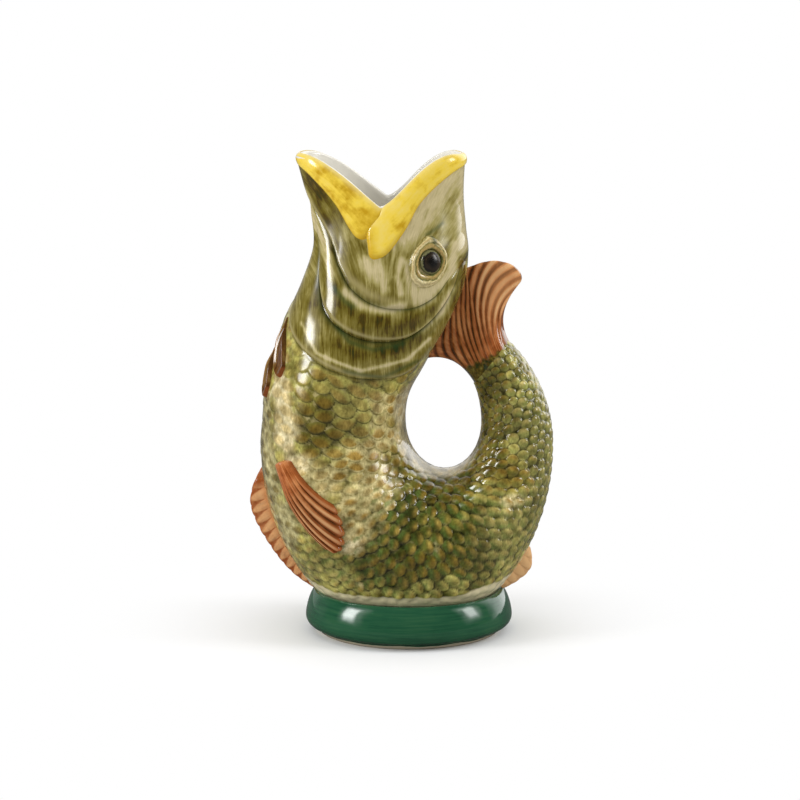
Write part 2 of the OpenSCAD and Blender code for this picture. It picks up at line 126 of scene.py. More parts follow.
def speckle(glaze, size, stretch=(1, 1, 1), detail=3, rough=0.55, shift=0.0):
    """Noise with spots of a size in metres, drawn out along an axis by stretch."""
    place = node(glaze, "ShaderNodeTexCoord").outputs["Object"]
    scale = tuple(1 / (size * s) for s in stretch)
    spots = node(glaze, "ShaderNodeMapping", {"Vector": place, "Scale": scale, "Location": (shift,) * 3})
    return node(
        glaze,
        "ShaderNodeTexNoise",
        {"Vector": spots.outputs[0], "Scale": 1.0, "Detail": detail, "Roughness": rough},
    ).outputs["Fac"]


def ramp(glaze, share, stops):
    """Colours along a share from 0 to 1."""
    made = node(glaze, "ShaderNodeValToRGB", {"Fac": share})
    band = made.color_ramp.elements
    while len(band) < len(stops):
        band.new(1.0)
    for element, (at, colour) in zip(band, stops):
        element.position = at
        element.color = colour
    return made.outputs["Color"]


def lay(glaze, share, under, over):
    """One colour laid over another by a share."""
    made = node(glaze, "ShaderNodeMix", {0: share, 6: under, 7: over}, data_type="RGBA")
    return made.outputs[2]


def sum_of(glaze, operation, a, b=0.0, clamp=True):
    """A sum, product or other operation on two shares."""
    return node(glaze, "ShaderNodeMath", {0: a, 1: b}, operation=operation, use_clamp=clamp).outputs[0]


def times(glaze, a, b, clamp=True):
    """A product of two shares."""
    return sum_of(glaze, "MULTIPLY", a, b, clamp)


def weighed(glaze, *parts):
    """Shares added up, each with its weight."""
    total = times(glaze, *parts[0])
    for part in parts[1:]:
        total = sum_of(glaze, "ADD", total, times(glaze, *part))
    return total


def span(glaze, share, low, high, to_low=0.0, to_high=1.0):
    """A share stretched from one range to another, with soft ends."""
    made = node(
        glaze,
        "ShaderNodeMapRange",
        {"Value": share, "From Min": low, "From Max": high, "To Min": to_low, "To Max": to_high},
        interpolation_type="SMOOTHSTEP",
    )
    return made.outputs["Result"]


def mark(glaze, name):
    """A share stored on the piece's own points."""
    return node(glaze, "ShaderNodeAttribute", attribute_name=name).outputs["Fac"]


def touch(glaze, colour, name, strength, over):
    """One colour laid over another where the piece is marked."""
    return lay(glaze, times(glaze, mark(glaze, name), strength), colour, over)


def new_glaze(name, colour, wave=0.25, gloss=(0.045, 0.085)):
    """A fired glaze: a colour under a glossy, slightly uneven coat."""
    glaze = bpy.data.materials.new(name)
    glaze.use_nodes = True
    shader = glaze.node_tree.nodes["Principled BSDF"]
    join = glaze.node_tree.links.new
    join(colour(glaze), shader.inputs["Base Color"])
    shine = span(glaze, speckle(glaze, glaze_shine_patch, shift=3.1), 0.3, 0.7, *gloss)
    join(shine, shader.inputs["Roughness"])
    swell = speckle(glaze, glaze_swell, detail=1, shift=7.7)
    bump = node(glaze, "ShaderNodeBump", {"Height": swell, "Strength": wave, "Distance": glaze_swell_h})
    join(bump.outputs["Normal"], shader.inputs["Normal"])
    shader.inputs["IOR"].default_value = glaze_ior
    return glaze


def store(piece, name, shares):
    """Stores one share per point of a piece."""
    made = piece.data.attributes.new(name, "FLOAT", "POINT")
    made.data.foreach_set("value", np.asarray(shares, np.float32))


def points_of(piece):
    """The points of a piece as an array."""
    found = np.empty(len(piece.data.vertices) * 3)
    piece.data.vertices.foreach_get("co", found)
    return found.reshape(-1, 3)


def foot_colour(glaze):
    """Green in level strokes, thin on the edges, and bare clay on the standing ring."""
    brush = speckle(glaze, foot_stroke, stretch=(20, 20, 1), detail=4)
    wash = speckle(glaze, foot_wash, shift=2.0)
    green = ramp(glaze, weighed(glaze, (brush, 0.6), (wash, 0.4)), [
        (0.38, foot_green_deep), (0.5, foot_green), (0.64, foot_green_thin),
    ])
    edge = sum_of(glaze, "ADD", mark(glaze, "bare"), span(glaze, wash, 0.35, 0.65, -0.15, 0.15))
    return lay(glaze, span(glaze, edge, 0.45, 0.55), green, bare_clay)


bpy.ops.object.select_all(action="DESELECT")
bpy.ops.mesh.primitive_circle_add(
    vertices=foot_columns,
    radius=foot_rest_r - foot_ring_w - foot_hollow_h / 2,
    fill_type="TRIFAN",
    location=(foot_x, 0, foot_hollow_h),
)
foot_piece = bpy.context.object
foot_piece.name = "glazed_foot"
bpy.ops.object.transform_apply(location=True, rotation=True, scale=True)
brim_r, brim_z = foot_seat_r - foot_lip_r / 3, foot_h + foot_brim_h
waist_r, waist_z = foot_rest_r + foot_step_w, foot_step_h
foot_profile = [
    (foot_rest_r - foot_ring_w, foot_hollow_h / 2),
    (foot_rest_r - foot_ring_w, foot_lip_r),
    (foot_rest_r - foot_ring_w + foot_lip_r, 0),
    (foot_rest_r - foot_lip_r, 0),
    (foot_rest_r - foot_lip_r / 3, foot_lip_r / 3),
    (foot_rest_r + foot_lip_r / 3, foot_lip_r),
    (waist_r, waist_z),
]
for i in range(1, foot_arc_steps + 1):
    turn = math.pi / 2 * (1 - i / foot_arc_steps)
    foot_profile.append((
        waist_r + (foot_bulge_r - waist_r) * math.cos(turn),
        waist_z + (foot_bulge_z - waist_z) * (1 - math.sin(turn)),
    ))
for i in range(1, foot_arc_steps + 1):
    turn = math.pi / 2 * i / foot_arc_steps
    foot_profile.append((
        brim_r + (foot_bulge_r - brim_r) * math.cos(turn) ** foot_flare,
        foot_bulge_z + (brim_z - foot_bulge_z) * math.sin(turn) ** foot_flare,
    ))
foot_profile += [
    (brim_r - foot_brim_w / 4, brim_z - foot_lip_r / 8),
    (brim_r - foot_brim_w / 2, brim_z - foot_lip_r / 2),
    (brim_r - foot_brim_w, foot_h),
    (foot_seat_r / 2, foot_h),
]
bpy.ops.object.mode_set(mode="EDIT")
bpy.ops.mesh.select_all(action="DESELECT")
bpy.ops.mesh.select_mode(type="EDGE")
bpy.ops.mesh.select_non_manifold(extend=False)
ring_r, ring_z = foot_rest_r - foot_ring_w - foot_hollow_h / 2, foot_hollow_h
for next_r, next_z in foot_profile:
    bpy.ops.mesh.extrude_region_move(TRANSFORM_OT_translate={"value": (0, 0, next_z - ring_z)})
    bpy.ops.transform.resize(
        value=(next_r / ring_r, next_r / ring_r, 1), center_override=(foot_x, 0, next_z)
    )
    ring_r, ring_z = next_r, next_z
bpy.ops.mesh.edge_face_add()
bpy.ops.object.mode_set(mode="OBJECT")
close_up(foot_piece)
foot_points = points_of(foot_piece)
foot_reach = np.hypot(foot_points[:, 0] - foot_x, foot_points[:, 1])
foot_bare = np.clip(1.2 - foot_points[:, 2] / foot_bare_h, 0, 1) * (foot_reach > foot_rest_r / 2)
store(foot_piece, "bare", foot_bare)
dress(foot_piece, new_glaze("foot_glaze", foot_colour, wave=0.3), "foot_glaze", "foot")

# Belly: the hollow body of the fish, cast in one piece from the neck to the root of the tail. Its
# scales are carved in the mould, each one laid over the next towards the tail, and the glaze is
# brushed on in patches of cream, olive, green and brown. It is dark in the grooves and under the
# scales' edges, partly as pooled glaze and partly as painted shade.
belly_low, belly_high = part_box("belly_shell")
tail_low, tail_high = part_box("tail_shell")
body_x = (belly_low.x + tail_high.x) / 2
body_half_l = (tail_high.x - belly_low.x) / 2
body_half_w = belly_high.y
body_level = 95 * MM
belly_drop = 94.5 * MM
tail_rise = 73 * MM
tail_turn = math.radians(232)
wall = 5 * MM
hole_x = 21.6 * MM
hole_level = 107 * MM
hole_half_l = 19 * MM
hole_drop = 25 * MM
hole_rise = 32 * MM
head_rise = 133.5 * MM
place_nudge = 0.004
angle_nudge = 0.01
neck_joint = -0.15
tail_joint = 0.595
# Head sections: height share of head_rise, throat share, nape share, width share
head_shares = np.array([
    (-0.10, 1.011, 0.868, 0.967),
    (0.00, 1.000, 1.000, 0.957),
    (0.10, 0.991, 0.905, 0.946),
    (0.20, 0.958, 0.542, 0.935),
    (0.39, 0.872, -0.184, 0.870),
    (0.52, 0.772, -0.547, 0.804),
    (0.64, 0.707, -0.647, 0.728),
    (0.72, 0.703, -0.589, 0.663),
    (0.85, 0.744, -0.516, 0.565),
    (1.00, 0.812, -0.558, 0.511),
])
# Body and tail sections: share of tail_turn, width share
tail_shares = np.array([
    (0.000, 0.957),
    (0.194, 1.000),
    (0.388, 0.957),
    (0.517, 0.783),
    (0.647, 0.565),
    (0.776, 0.435),
    (1.000, 0.283),
])


def curve(rows, x, column):
    """A smooth line through one column of a table, read at x."""
    at, value = rows[:, 0], rows[:, column]
    slope = np.gradient(value)
    slope[1:-1] = (value[2:] - value[:-2]) / (at[2:] - at[:-2])
    slope[0] = (value[1] - value[0]) / (at[1] - at[0])
    slope[-1] = (value[-1] - value[-2]) / (at[-1] - at[-2])
    i = np.clip(np.searchsorted(at, x) - 1, 0, len(at) - 2)
    d = at[i + 1] - at[i]
    t = (x - at[i]) / d
    return (
        (2 * t**3 - 3 * t**2 + 1) * value[i] + (t**3 - 2 * t**2 + t) * slope[i] * d
        + (3 * t**2 - 2 * t**3) * value[i + 1] + (t**3 - t**2) * slope[i + 1] * d
    )


def outline_reach(turn):
    """Distance from the hole's middle to the outline of the body, in the direction turn."""
    x, z = hole_x - body_x, hole_level - body_level

    def hit(b):
        k = (np.cos(turn) / body_half_l) ** 2 + (np.sin(turn) / b) ** 2
        m = x * np.cos(turn) / body_half_l**2 + z * np.sin(turn) / b**2
        n = (x / body_half_l) ** 2 + (z / b) ** 2 - 1
        return (np.sqrt(m**2 - k * n) - m) / k

    low = hit(belly_drop)
    return np.where(hole_level + low * np.sin(turn) < body_level, low, hit(tail_rise))


def section(place):
    """Nape and throat points (x, z) and half width of the fish: head places run from 0 down to -1
    as shares of head_rise, body and tail places from 0 up to 1 as shares of tail_turn."""
    place = np.asarray(place, float)
    share = np.maximum(-place, 0)
    turn = math.pi + tail_turn * np.maximum(place, 0)
    hole_b = np.where(np.sin(turn) > 0, hole_rise, hole_drop)
    hole_reach = hole_half_l * hole_b / np.hypot(hole_b * np.cos(turn), hole_half_l * np.sin(turn))
    head = place <= 0
    level = hole_level + head_rise * share
    nape_reach = hole_half_l * curve(head_shares, share, 2)
    nape_x = np.where(head, hole_x - nape_reach, hole_x + hole_reach * np.cos(turn))
    nape_z = np.where(head, level, hole_level + hole_reach * np.sin(turn))
    far = outline_reach(turn)
    throat_x = np.where(head, hole_x - far * curve(head_shares, share, 1), hole_x + far * np.cos(turn))
    throat_z = np.where(head, level, hole_level + far * np.sin(turn))
    width = body_half_w * np.where(
        head, curve(head_shares, share, 3), curve(tail_shares, np.maximum(place, 0), 1)
    )
    return nape_x, nape_z, throat_x, throat_z, width


def skin(place, angle, inset=0.0):
    """Points of the skin, or of a wall inset from it. Angle 0 is the nape, a quarter turn the
    fish's right side, a half turn the throat. The foot's seat cuts the belly flat."""
    nape_x, nape_z, throat_x, throat_z, width = section(place)
    thick = np.hypot(nape_x - throat_x, nape_z - throat_z)
    half = (1 / 2 - inset / thick) * np.cos(angle)
    x = (nape_x + throat_x) / 2 + (nape_x - throat_x) * half
    z = (nape_z + throat_z) / 2 + (nape_z - throat_z) * half
    return np.stack([x, (width - inset) * np.sin(angle), np.maximum(z, foot_h + inset)], axis=-1)


def unit(v):
    """Directions made one long."""
    return v / np.maximum(np.linalg.norm(v, axis=-1, keepdims=True), 1e-12)


def along_skin(place, angle):
    """A short step on the skin towards the tail."""
    return skin(place + place_nudge, angle) - skin(place - place_nudge, angle)


def round_skin(place, angle):
    """A short step on the skin round the body."""
    return skin(place, angle + angle_nudge) - skin(place, angle - angle_nudge)


def outward(place, angle):
    """The direction out of the skin."""
    return unit(np.cross(along_skin(place, angle), round_skin(place, angle)))


def raised(place, angle, height):
    """Points that stand off the skin by a height."""
    return skin(place, angle) + outward(place, angle) * np.asarray(height)[..., None]


def soft_step(low, high, x):
    """A share that rises softly from 0 at low to 1 at high."""
    t = np.clip((x - low) / (high - low), 0, 1)
    return t * t * (3 - 2 * t)


# Scales are widest on the upper body, smaller towards the foot and the tail, and lie closer along
# the body than across it
scale_w = 11.4 * MM
scale_low_w = 7.1 * MM
scale_tail_w = 4.7 * MM
scale_squeeze = 1.75
scale_low_squeeze = 1.30
scale_lift = 1.0 * MM
scale_sink = 0.5 * MM
scale_dome = 1.2 * MM
scale_lean = math.radians(19)
scale_seed = 7
scale_near = 7
scale_first_place = -0.78
scale_search_step = 1.3 * MM
scale_easing_rounds = 7
scale_start_h = 0.5 * MM
scale_full_h = 4 * MM
scale_spot_at = 0.44
pit_shade_low_h = 0.08 * MM
pit_shade_high_h = 0.35 * MM
hem_low_z = 23.2 * MM
hem_high_z = 27.2 * MM
hem_rise = 5.5 * MM
hem_near = 25 * MM
hem_far = 55 * MM
# The gill cover's rear edge: angle from the nape in degrees, and height share of head_rise
gill_edge_shares = np.array([
    (0, 0.640), (12, 0.620), (16, 0.340), (36, 0.213), (72, 0.205), (104, 0.246),
    (137, 0.330), (156, 0.410), (165, 0.530), (169, 0.650), (171, 0.760), (180, 0.800),
])


def folded(angle):
    """An angle from the nape in degrees, the same on both sides."""
    return np.degrees(np.abs((angle + math.pi) % (2 * math.pi) - math.pi))


def gill_edge(angle):
    """Height share of the gill cover's rear edge."""
    return np.interp(folded(angle), gill_edge_shares[:, 0], gill_edge_shares[:, 1])


def squeeze(place):
    """How much closer the scales lie along the body than across it."""
    return scale_squeeze + (scale_low_squeeze - scale_squeeze) * soft_step(0.05, 0.35, place)


def scale_width(place):
    """The width of the scales at a place."""
    return np.interp(place, (-0.8, -0.2, 0.06, 0.24, 0.5, 1.0), (
        0.75 * scale_w, scale_w, 0.94 * scale_w, scale_low_w, scale_low_w, scale_tail_w,
    ))


def lay_scales():
    """Places and angles of the scales: laid one by one from the head to the tail, each as near to
    the last ones as its width allows, then eased apart."""
    laid, cells = [], {}
    place = scale_first_place
    half_round = np.linspace(0, math.pi, 7)
    while place < 1.0:
        reach = np.linalg.norm(along_skin(place, half_round), axis=-1).max() / (2 * place_nudge)
        girth = np.linalg.norm(round_skin(place, half_round), axis=-1).mean() / (2 * angle_nudge)
        count = int(2 * math.pi * girth / scale_search_step)
        angles = np.linspace(0, 2 * math.pi, count, endpoint=False) + 2.4 * len(laid)
        points = skin(np.full(count, place), angles)
        ways = unit(along_skin(np.full(count, place), angles))
        width = float(scale_width(place))
        for angle, point, way in zip(angles, points, ways):
            if place < -gill_edge(angle) - 0.03 or point[2] < foot_h + 1 * MM:
                continue
            cell = tuple((point // scale_w).astype(int))
            near = [q for i in (-1, 0, 1) for j in (-1, 0, 1) for k in (-1, 0, 1)
                    for q in cells.get((cell[0] + i, cell[1] + j, cell[2] + k), ())]
            gaps = np.array(near).reshape(-1, 3) - point
            lengths = gaps @ way
            apart = (gaps**2).sum(-1) + (squeeze(place) ** 2 - 1) * lengths**2
            if len(near) and apart.min() < (0.93 * width) ** 2:
                continue
            laid.append((place, angle))
            cells.setdefault(cell, []).append(point)
        place += scale_search_step / reach
    laid = np.array(laid)
    for _ in range(scale_easing_rounds):
        points = skin(laid[:, 0], laid[:, 1])
        along, across = along_skin(*laid.T) / (2 * place_nudge), round_skin(*laid.T) / (2 * angle_nudge)
        gaps = points[:, None] - points[None]
        lengths = np.einsum("ijk,ik->ij", gaps, unit(along))
        apart = np.sqrt((gaps**2).sum(-1) + (squeeze(laid[:, 0])[:, None] ** 2 - 1) * lengths**2)
        np.fill_diagonal(apart, 1)
        push = np.clip(1.12 - apart / scale_width(laid[:, 0])[:, None], 0, 0.6)
        move = (gaps / apart[..., None] * push[..., None]).sum(1) * 0.22 * scale_w
        laid[:, 0] += (move * along).sum(-1) / (along**2).sum(-1) / squeeze(laid[:, 0])
        laid[:, 1] += (move * across).sum(-1) / (across**2).sum(-1)
    return laid


scale_spots = lay_scales()
scale_points = skin(*scale_spots.T)
scale_ways = unit(along_skin(*scale_spots.T))
scale_sides = unit(round_skin(*scale_spots.T))
scale_chance = np.random.default_rng(scale_seed).random((3, len(scale_spots)))
scale_half_w = 0.60 * scale_width(scale_spots[:, 0]) * (0.88 + 0.24 * scale_chance[1])
scale_tones = scale_chance[0]
scale_leans = scale_lean * (2 * scale_chance[2] - 1)
scale_tree = kdtree.KDTree(len(scale_spots))
for i, point in enumerate(scale_points):
    scale_tree.insert(point, i)
scale_tree.balance()

# Where each glaze is brushed on, where the clay shows milky, and where the carving is faint: middle x
# and z of a patch in mm, and its two radii
brush_patches = {
    "cream": [
        (-36, 84, 13, 10), (-9, 87, 8, 4), (-19, 62, 11, 17), (-12, 99, 9, 6), (-6, 117, 7, 12),
        (57, 73, 6, 4), (-12, 78, 12, 7),
    ],
    "ochre": [(-30, 82, 12, 9), (-4, 112, 8, 12), (47, 90, 8, 10), (57, 84, 10, 10), (30, 76, 10, 5)],
    "umber": [(-38, 114, 9, 19), (46, 118, 9, 28), (10, 42, 28, 6), (24, 76, 16, 8), (4, 92, 6, 9)],
    "green": [(10, 54, 30, 20), (25, 61, 18, 18), (-10, 44, 22, 10), (-8, 66, 8, 12), (26, 80, 10, 5)],
    "sage": [(68, 128, 12, 34), (70, 72, 12, 30), (-34, 40, 18, 8), (50, 53, 13, 16)],
    "breast": [(-68, 108, 6, 30), (-64, 82, 6, 20), (-54, 60, 7, 18)],
}
milk_patches = [(-56, 122, 5, 16), (-53, 104, 5, 11), (-47, 92, 7, 5), (-22, 52, 8, 5)]
faint_patches = [(-55, 118, 6, 24), (-52, 142, 12, 20), (-42, 70, 6, 8)]


def patches(points, spots):
    """How strongly brushed patches cover points, from 0 to 1."""
    bare = np.ones(len(points))
    for x, z, wide, tall in spots:
        far = ((points[:, 0] / MM - x) / wide) ** 2 + ((points[:, 2] / MM - z) / tall) ** 2
        bare *= 1 - np.exp(-0.8 * far)
    return 1 - bare


def carve(piece, place, angle, strength):
    """Raises the scales on a piece whose points lie on the skin, and stores what the glaze needs."""
    points = skin(place, angle)
    found = np.array([[hit[1] for hit in scale_tree.find_n(p, scale_near)] for p in points])
    gaps = points[:, None] - scale_points[found]
    half = scale_half_w[found]
    along = np.einsum("ijk,ijk->ij", gaps, scale_ways[found]) / half
    across = np.einsum("ijk,ijk->ij", gaps, scale_sides[found]) / half
    lean = scale_leans[found]
    a = along * np.cos(lean) + across * np.sin(lean)
    c = across * np.cos(lean) - along * np.sin(lean)
    from_middle = np.sqrt(a**2 + c**2)
    bead = soft_step(0.10, 0.28, place)[:, None]
    edge = np.sqrt(1 - np.clip((from_middle - 0.74) / 0.26, 0, 1) ** 2)
    shingle = (0.10 + 0.90 * np.clip(0.5 + 0.55 * a, 0, 1)) * edge * scale_lift
    squat = np.sqrt(((a - 0.06) / np.where(a > 0.06, 0.72, 0.84)) ** 2 + (c / 0.90) ** 2)
    dome = np.clip(1 - squat**2.2, 0, 1) ** 0.6 * (0.70 + 0.50 * np.clip(a, -1, 1)) * scale_dome
    heights = np.where(from_middle < 1, (1 - bead) * shingle + bead * dome, 0)
    top = heights.argmax(1)
    rows = np.arange(len(points))
    height, a, c, squat, from_middle = (each[rows, top] for each in (heights, a, c, squat, from_middle))
    bead = bead[:, 0]
    neck = soft_step(-0.25, -0.10, place) * soft_step(0.22, 0.06, place)
    inner = soft_step(30 + 14 * neck, 8 + 8 * neck, folded(angle))
    strength = strength * (1 - 0.75 * patches(points, faint_patches)) * (1 - 0.85 * inner)
    strength = strength * soft_step(foot_h + scale_start_h, foot_h + scale_full_h, points[:, 2])
    strength = strength * (1 - 0.4 * soft_step(130, 170, folded(angle)))
    pale = np.clip(1.4 * patches(points, brush_patches["cream"]), 0, 1)
    front = a > scale_spot_at
    spot_l, spot_w = np.where(front, 0.50 - 0.12 * pale, 0.44), 0.86 - 0.18 * pale
    oval = np.sqrt(((a - scale_spot_at) / spot_l) ** 2 + (c / spot_w) ** 2)
    spot = 1 - soft_step(np.where(front, 0.75, 0.35), 1.0, oval)
    # On the beads the middle mark is a pale spot on the tail side: a painted highlight, and partly where the
    # glaze runs thin on the raised edge.
    lit = np.exp(-(((a - 0.40) / 0.30) ** 2) - (c / 0.60) ** 2)
    store(piece, "middle", spot * (1 - bead) + lit * bead)
    # The gap mark darkens the line just past each scale's edge, the low places, the root under the last
    # scale's edge and the ring round each bead: partly pooled glaze, partly painted shade.
    rim = np.exp(-(((from_middle - 0.96) / 0.10) ** 2)) * soft_step(0.0, 0.35, a)
    lip = np.exp(-(((from_middle - 0.85) / 0.05) ** 2)) * soft_step(0.15, 0.5, a)
    store(piece, "lip", lip * (1 - bead) * strength)
    root = soft_step(0.15, -0.40, a) * (1 - bead)
    pit_shade = 1 - soft_step(pit_shade_low_h, pit_shade_high_h, height)
    dip = soft_step(0.78, 0.98, squat) * (0.6 + 0.4 * soft_step(-0.4, 0.2, a))
    store(piece, "gap", np.clip((rim + 0.7 * pit_shade) * (1 - bead) + 0.62 * root + dip * bead, 0, 1) * strength)
    store(piece, "moss", (bead + 0.8 * (1 - bead)) * soft_step(0.16, -0.28, a) * strength)
    store(piece, "tone", scale_tones[found[rows, top]])
    store(piece, "brim", (1 - bead) * soft_step(1.05, 1.25, oval) + bead * 0.4 * soft_step(0.6, 0.9, squat))
    hem = points[:, 2] - hem_rise * soft_step(hem_near, hem_far, np.abs(points[:, 0]))
    keel = soft_step(157, 172, folded(angle)) * soft_step(0.36, 0.42, place) * soft_step(0.58, 0.50, place)
    store(piece, "hem", soft_step(hem_high_z, hem_low_z, hem))
    # The milky share is pale clay in its patches and by the rear fin, and round the inside of the grip hole
    # it is a painted reflection of the bright room.
    store(piece, "milk_and_sheen", np.maximum.reduce([
        patches(points, milk_patches), 0.8 * inner * soft_step(-0.3, -0.1, place), keel,
    ]))
    for name, spots in brush_patches.items():
        store(piece, name, patches(points, spots))
    return (height - scale_sink) * strength


def new_grid(name, columns, rows):
    """A flat grid to be shaped: its points' shares across and along, from 0 to 1."""
    bpy.ops.object.select_all(action="DESELECT")
    bpy.ops.mesh.primitive_grid_add(x_subdivisions=columns, y_subdivisions=rows, size=2)
    piece = bpy.context.object
    piece.name = name
    shares = (points_of(piece)[:, :2] + 1) / 2
    return piece, shares[:, 0], shares[:, 1]


def place_points(piece, points):
    """Moves a piece's points to their places."""
    piece.data.vertices.foreach_set("co", np.asarray(points, np.float32).ravel())
    piece.data.update()


def shell_paths(along, outer_rows, inner_rows):
    """For the rows of a hollow shell, from 0 to 1: the share of the way down the outside, then back
    up the inside, and whether a row lies inside."""
    rows = outer_rows + inner_rows + 2
    step = np.rint(along * rows)
    inside = step > outer_rows
    way = np.where(inside, (outer_rows + 1 + inner_rows - step) / inner_rows, step / outer_rows)
    way = np.where(step == rows, 0, way)
    return np.clip(way, 0, 1), inside & (step < rows)


hatch_size = 1.1 * MM
ragged_size = 13 * MM
flow_size = 6 * MM
thin_size = 4 * MM
wash_small = 4.5 * MM
wash_large = 12 * MM
cream = (0.60, 0.51, 0.285, 1)
tan = (0.38, 0.29, 0.10, 1)
olive = (0.150, 0.118, 0.016, 1)
umber = (0.080, 0.050, 0.006, 1)
pool_green = (0.022, 0.034, 0.007, 1)
white_glaze = (0.86, 0.83, 0.74, 1)
# The glazes that are brushed on the scales: on their middles, on their borders and in the grooves,
# where the dark glaze is partly pooled glaze and partly painted shade
scale_tints = {
    "olive": ((0.320, 0.240, 0.068, 1), (0.430, 0.405, 0.125, 1), (0.030, 0.027, 0.003, 1)),
    "green": ((0.370, 0.260, 0.062, 1), (0.074, 0.082, 0.010, 1), (0.012, 0.018, 0.002, 1)),
    "sage": ((0.430, 0.358, 0.136, 1), (0.258, 0.252, 0.078, 1), (0.036, 0.038, 0.007, 1)),
    "ochre": ((0.290, 0.165, 0.022, 1), (0.290, 0.228, 0.042, 1), (0.044, 0.029, 0.003, 1)),
    "umber": ((0.170, 0.110, 0.015, 1), (0.125, 0.105, 0.013, 1), (0.016, 0.014, 0.002, 1)),
    "cream": ((0.375, 0.240, 0.060, 1), (0.700, 0.615, 0.345, 1), (0.330, 0.270, 0.090, 1)),
    "breast": ((0.190, 0.155, 0.055, 1), (0.520, 0.470, 0.275, 1), (0.300, 0.270, 0.140, 1)),
    "milk_and_sheen": ((0.56, 0.455, 0.24, 1), (0.67, 0.60, 0.42, 1), (0.44, 0.34, 0.15, 1)),
}
scale_covers = {
    "green": 0.95, "sage": 0.9, "ochre": 0.8, "umber": 0.8, "cream": 0.92, "breast": 0.9, "milk_and_sheen": 0.95,
}
vivid_green = (0.080, 0.132, 0.030, 1)
hem_white = (0.84, 0.74, 0.48, 1)
grain_dark = (0.68, 0.65, 0.56, 1)
grain_light = (1.14, 1.13, 1.10, 1)
wash_dark = (0.45, 0.43, 0.31, 1)
wash_light = (1.52, 1.52, 1.50, 1)


def grained(glaze, share, colour, depth=1.0, dark=grain_dark, light=grain_light):
    """A colour with the light and dark grain of a brush."""
    grain = ramp(glaze, share, [(0.32, dark), (0.68, light)])
    inputs = {0: depth, 6: colour, 7: grain}
    return node(glaze, "ShaderNodeMix", inputs, data_type="RGBA", blend_type="MULTIPLY").outputs[2]


def swing(glaze, share, reach):
    """A share's distance from one half, times a reach."""
    return times(glaze, sum_of(glaze, "SUBTRACT", share, 0.5, clamp=False), reach, clamp=False)


def scale_colour(glaze):
    """Brushed patches of glaze, pale round the middle of each scale and on each bead's tail side, where
    it is a painted highlight, and dark in the grooves and under the scales' edges, partly pooled glaze
    and partly painted shade.
    """
    hatch = speckle(glaze, hatch_size, stretch=(1, 1, 2), detail=4, rough=0.7)
    broken = swing(glaze, speckle(glaze, ragged_size, detail=4, shift=5.0), 1.3)
    single = swing(glaze, mark(glaze, "tone"), 0.35)
    ragged = sum_of(glaze, "ADD", broken, single, clamp=False)
    tints = scale_tints["olive"]
    # The milky cover is pale clay, and round the inside of the grip hole a painted reflection.
    for name, cover in scale_covers.items():
        share = span(glaze, sum_of(glaze, "ADD", mark(glaze, name), ragged), 0.25, 0.75, 0, cover)
        tints = [lay(glaze, share, *pair) for pair in zip(tints, scale_tints[name])]
    middle, border, groove_shade = tints
    flow = span(glaze, speckle(glaze, flow_size, shift=8.0), 0.38, 0.60, 0.1, 0.9)
    thin = span(glaze, speckle(glaze, thin_size, shift=12.0), 0.42, 0.62, 0, 0.55)
    border = touch(glaze, border, "brim", thin, cream)
    strength = span(glaze, sum_of(glaze, "ADD", mark(glaze, "tone"), broken), 0.0, 0.6, 0.45, 1.0)
    # On the beads the middle colour is a painted highlight on their tail side.
    colour = touch(glaze, border, "middle", strength, middle)
    colour = touch(glaze, colour, "lip", span(glaze, hatch, 0.35, 0.6, 0.1, 0.7), border)
    flow = times(glaze, flow, span(glaze, mark(glaze, "green"), 0.0, 0.6, 0.45, 0.9))
    colour = touch(glaze, colour, "moss", flow, vivid_green)
    # Dark in the grooves and under the scales' edges: partly pooled glaze, partly painted shade.
    colour = touch(glaze, colour, "gap", 0.92, groove_shade)
    colour = grained(glaze, speckle(glaze, wash_small, shift=15.0), colour, 0.75, wash_dark, wash_light)
    colour = grained(glaze, speckle(glaze, wash_large, shift=21.0), colour, 0.7, wash_dark, wash_light)
    colour = grained(glaze, hatch, colour)
    bare = span(glaze, sum_of(glaze, "ADD", mark(glaze, "hem"), broken), 0.25, 0.75, 0, 0.85)
    return lay(glaze, mark(glaze, "white"), lay(glaze, bare, colour, hem_white), white_glaze)


belly_columns = 324
belly_rows = 280
belly_inner_rows = 12
belly_piece, across, along = new_grid("scaled_belly", belly_columns, belly_rows + belly_inner_rows + 2)
way, inside = shell_paths(along, belly_rows, belly_inner_rows)
place = neck_joint + (tail_joint - neck_joint) * way
angle = 2 * math.pi * across
outer = raised(place, angle, carve(belly_piece, place, angle, np.where(inside, 0.0, 1.0)))
place_points(belly_piece, np.where(inside[:, None], skin(place, angle, wall), outer))
store(belly_piece, "white", inside.astype(float))
close_up(belly_piece)
scale_glaze = new_glaze("scale_glaze", scale_colour, wave=0.12, gloss=(0.08, 0.15))
dress(belly_piece, scale_glaze, "scale_glaze", "belly_shell")

# Tail: the hollow end of the fish that curls up to the head as the handle, cast with the same
# scales, which grow smaller towards its end.
tail_columns = 220
tail_rows = 190
tail_inner_rows = 8
tail_floor = 0.965
tail_piece, across, along = new_grid("scaled_tail", tail_columns, tail_rows + tail_inner_rows + 2)
way, inside = shell_paths(along, tail_rows, tail_inner_rows)
place = 1 + (tail_joint - 1) * way
inner_place = tail_floor + (tail_joint - tail_floor) * way
angle = 2 * math.pi * across
outer = raised(place, angle, carve(tail_piece, place, angle, np.where(inside, 0.0, 1.0)))
inner = skin(inner_place, angle, wall)
place_points(tail_piece, np.where(inside[:, None], inner, outer))
store(tail_piece, "white", inside.astype(float))
close_up(tail_piece)
dress(tail_piece, scale_glaze, "scale_glaze", "tail_shell")

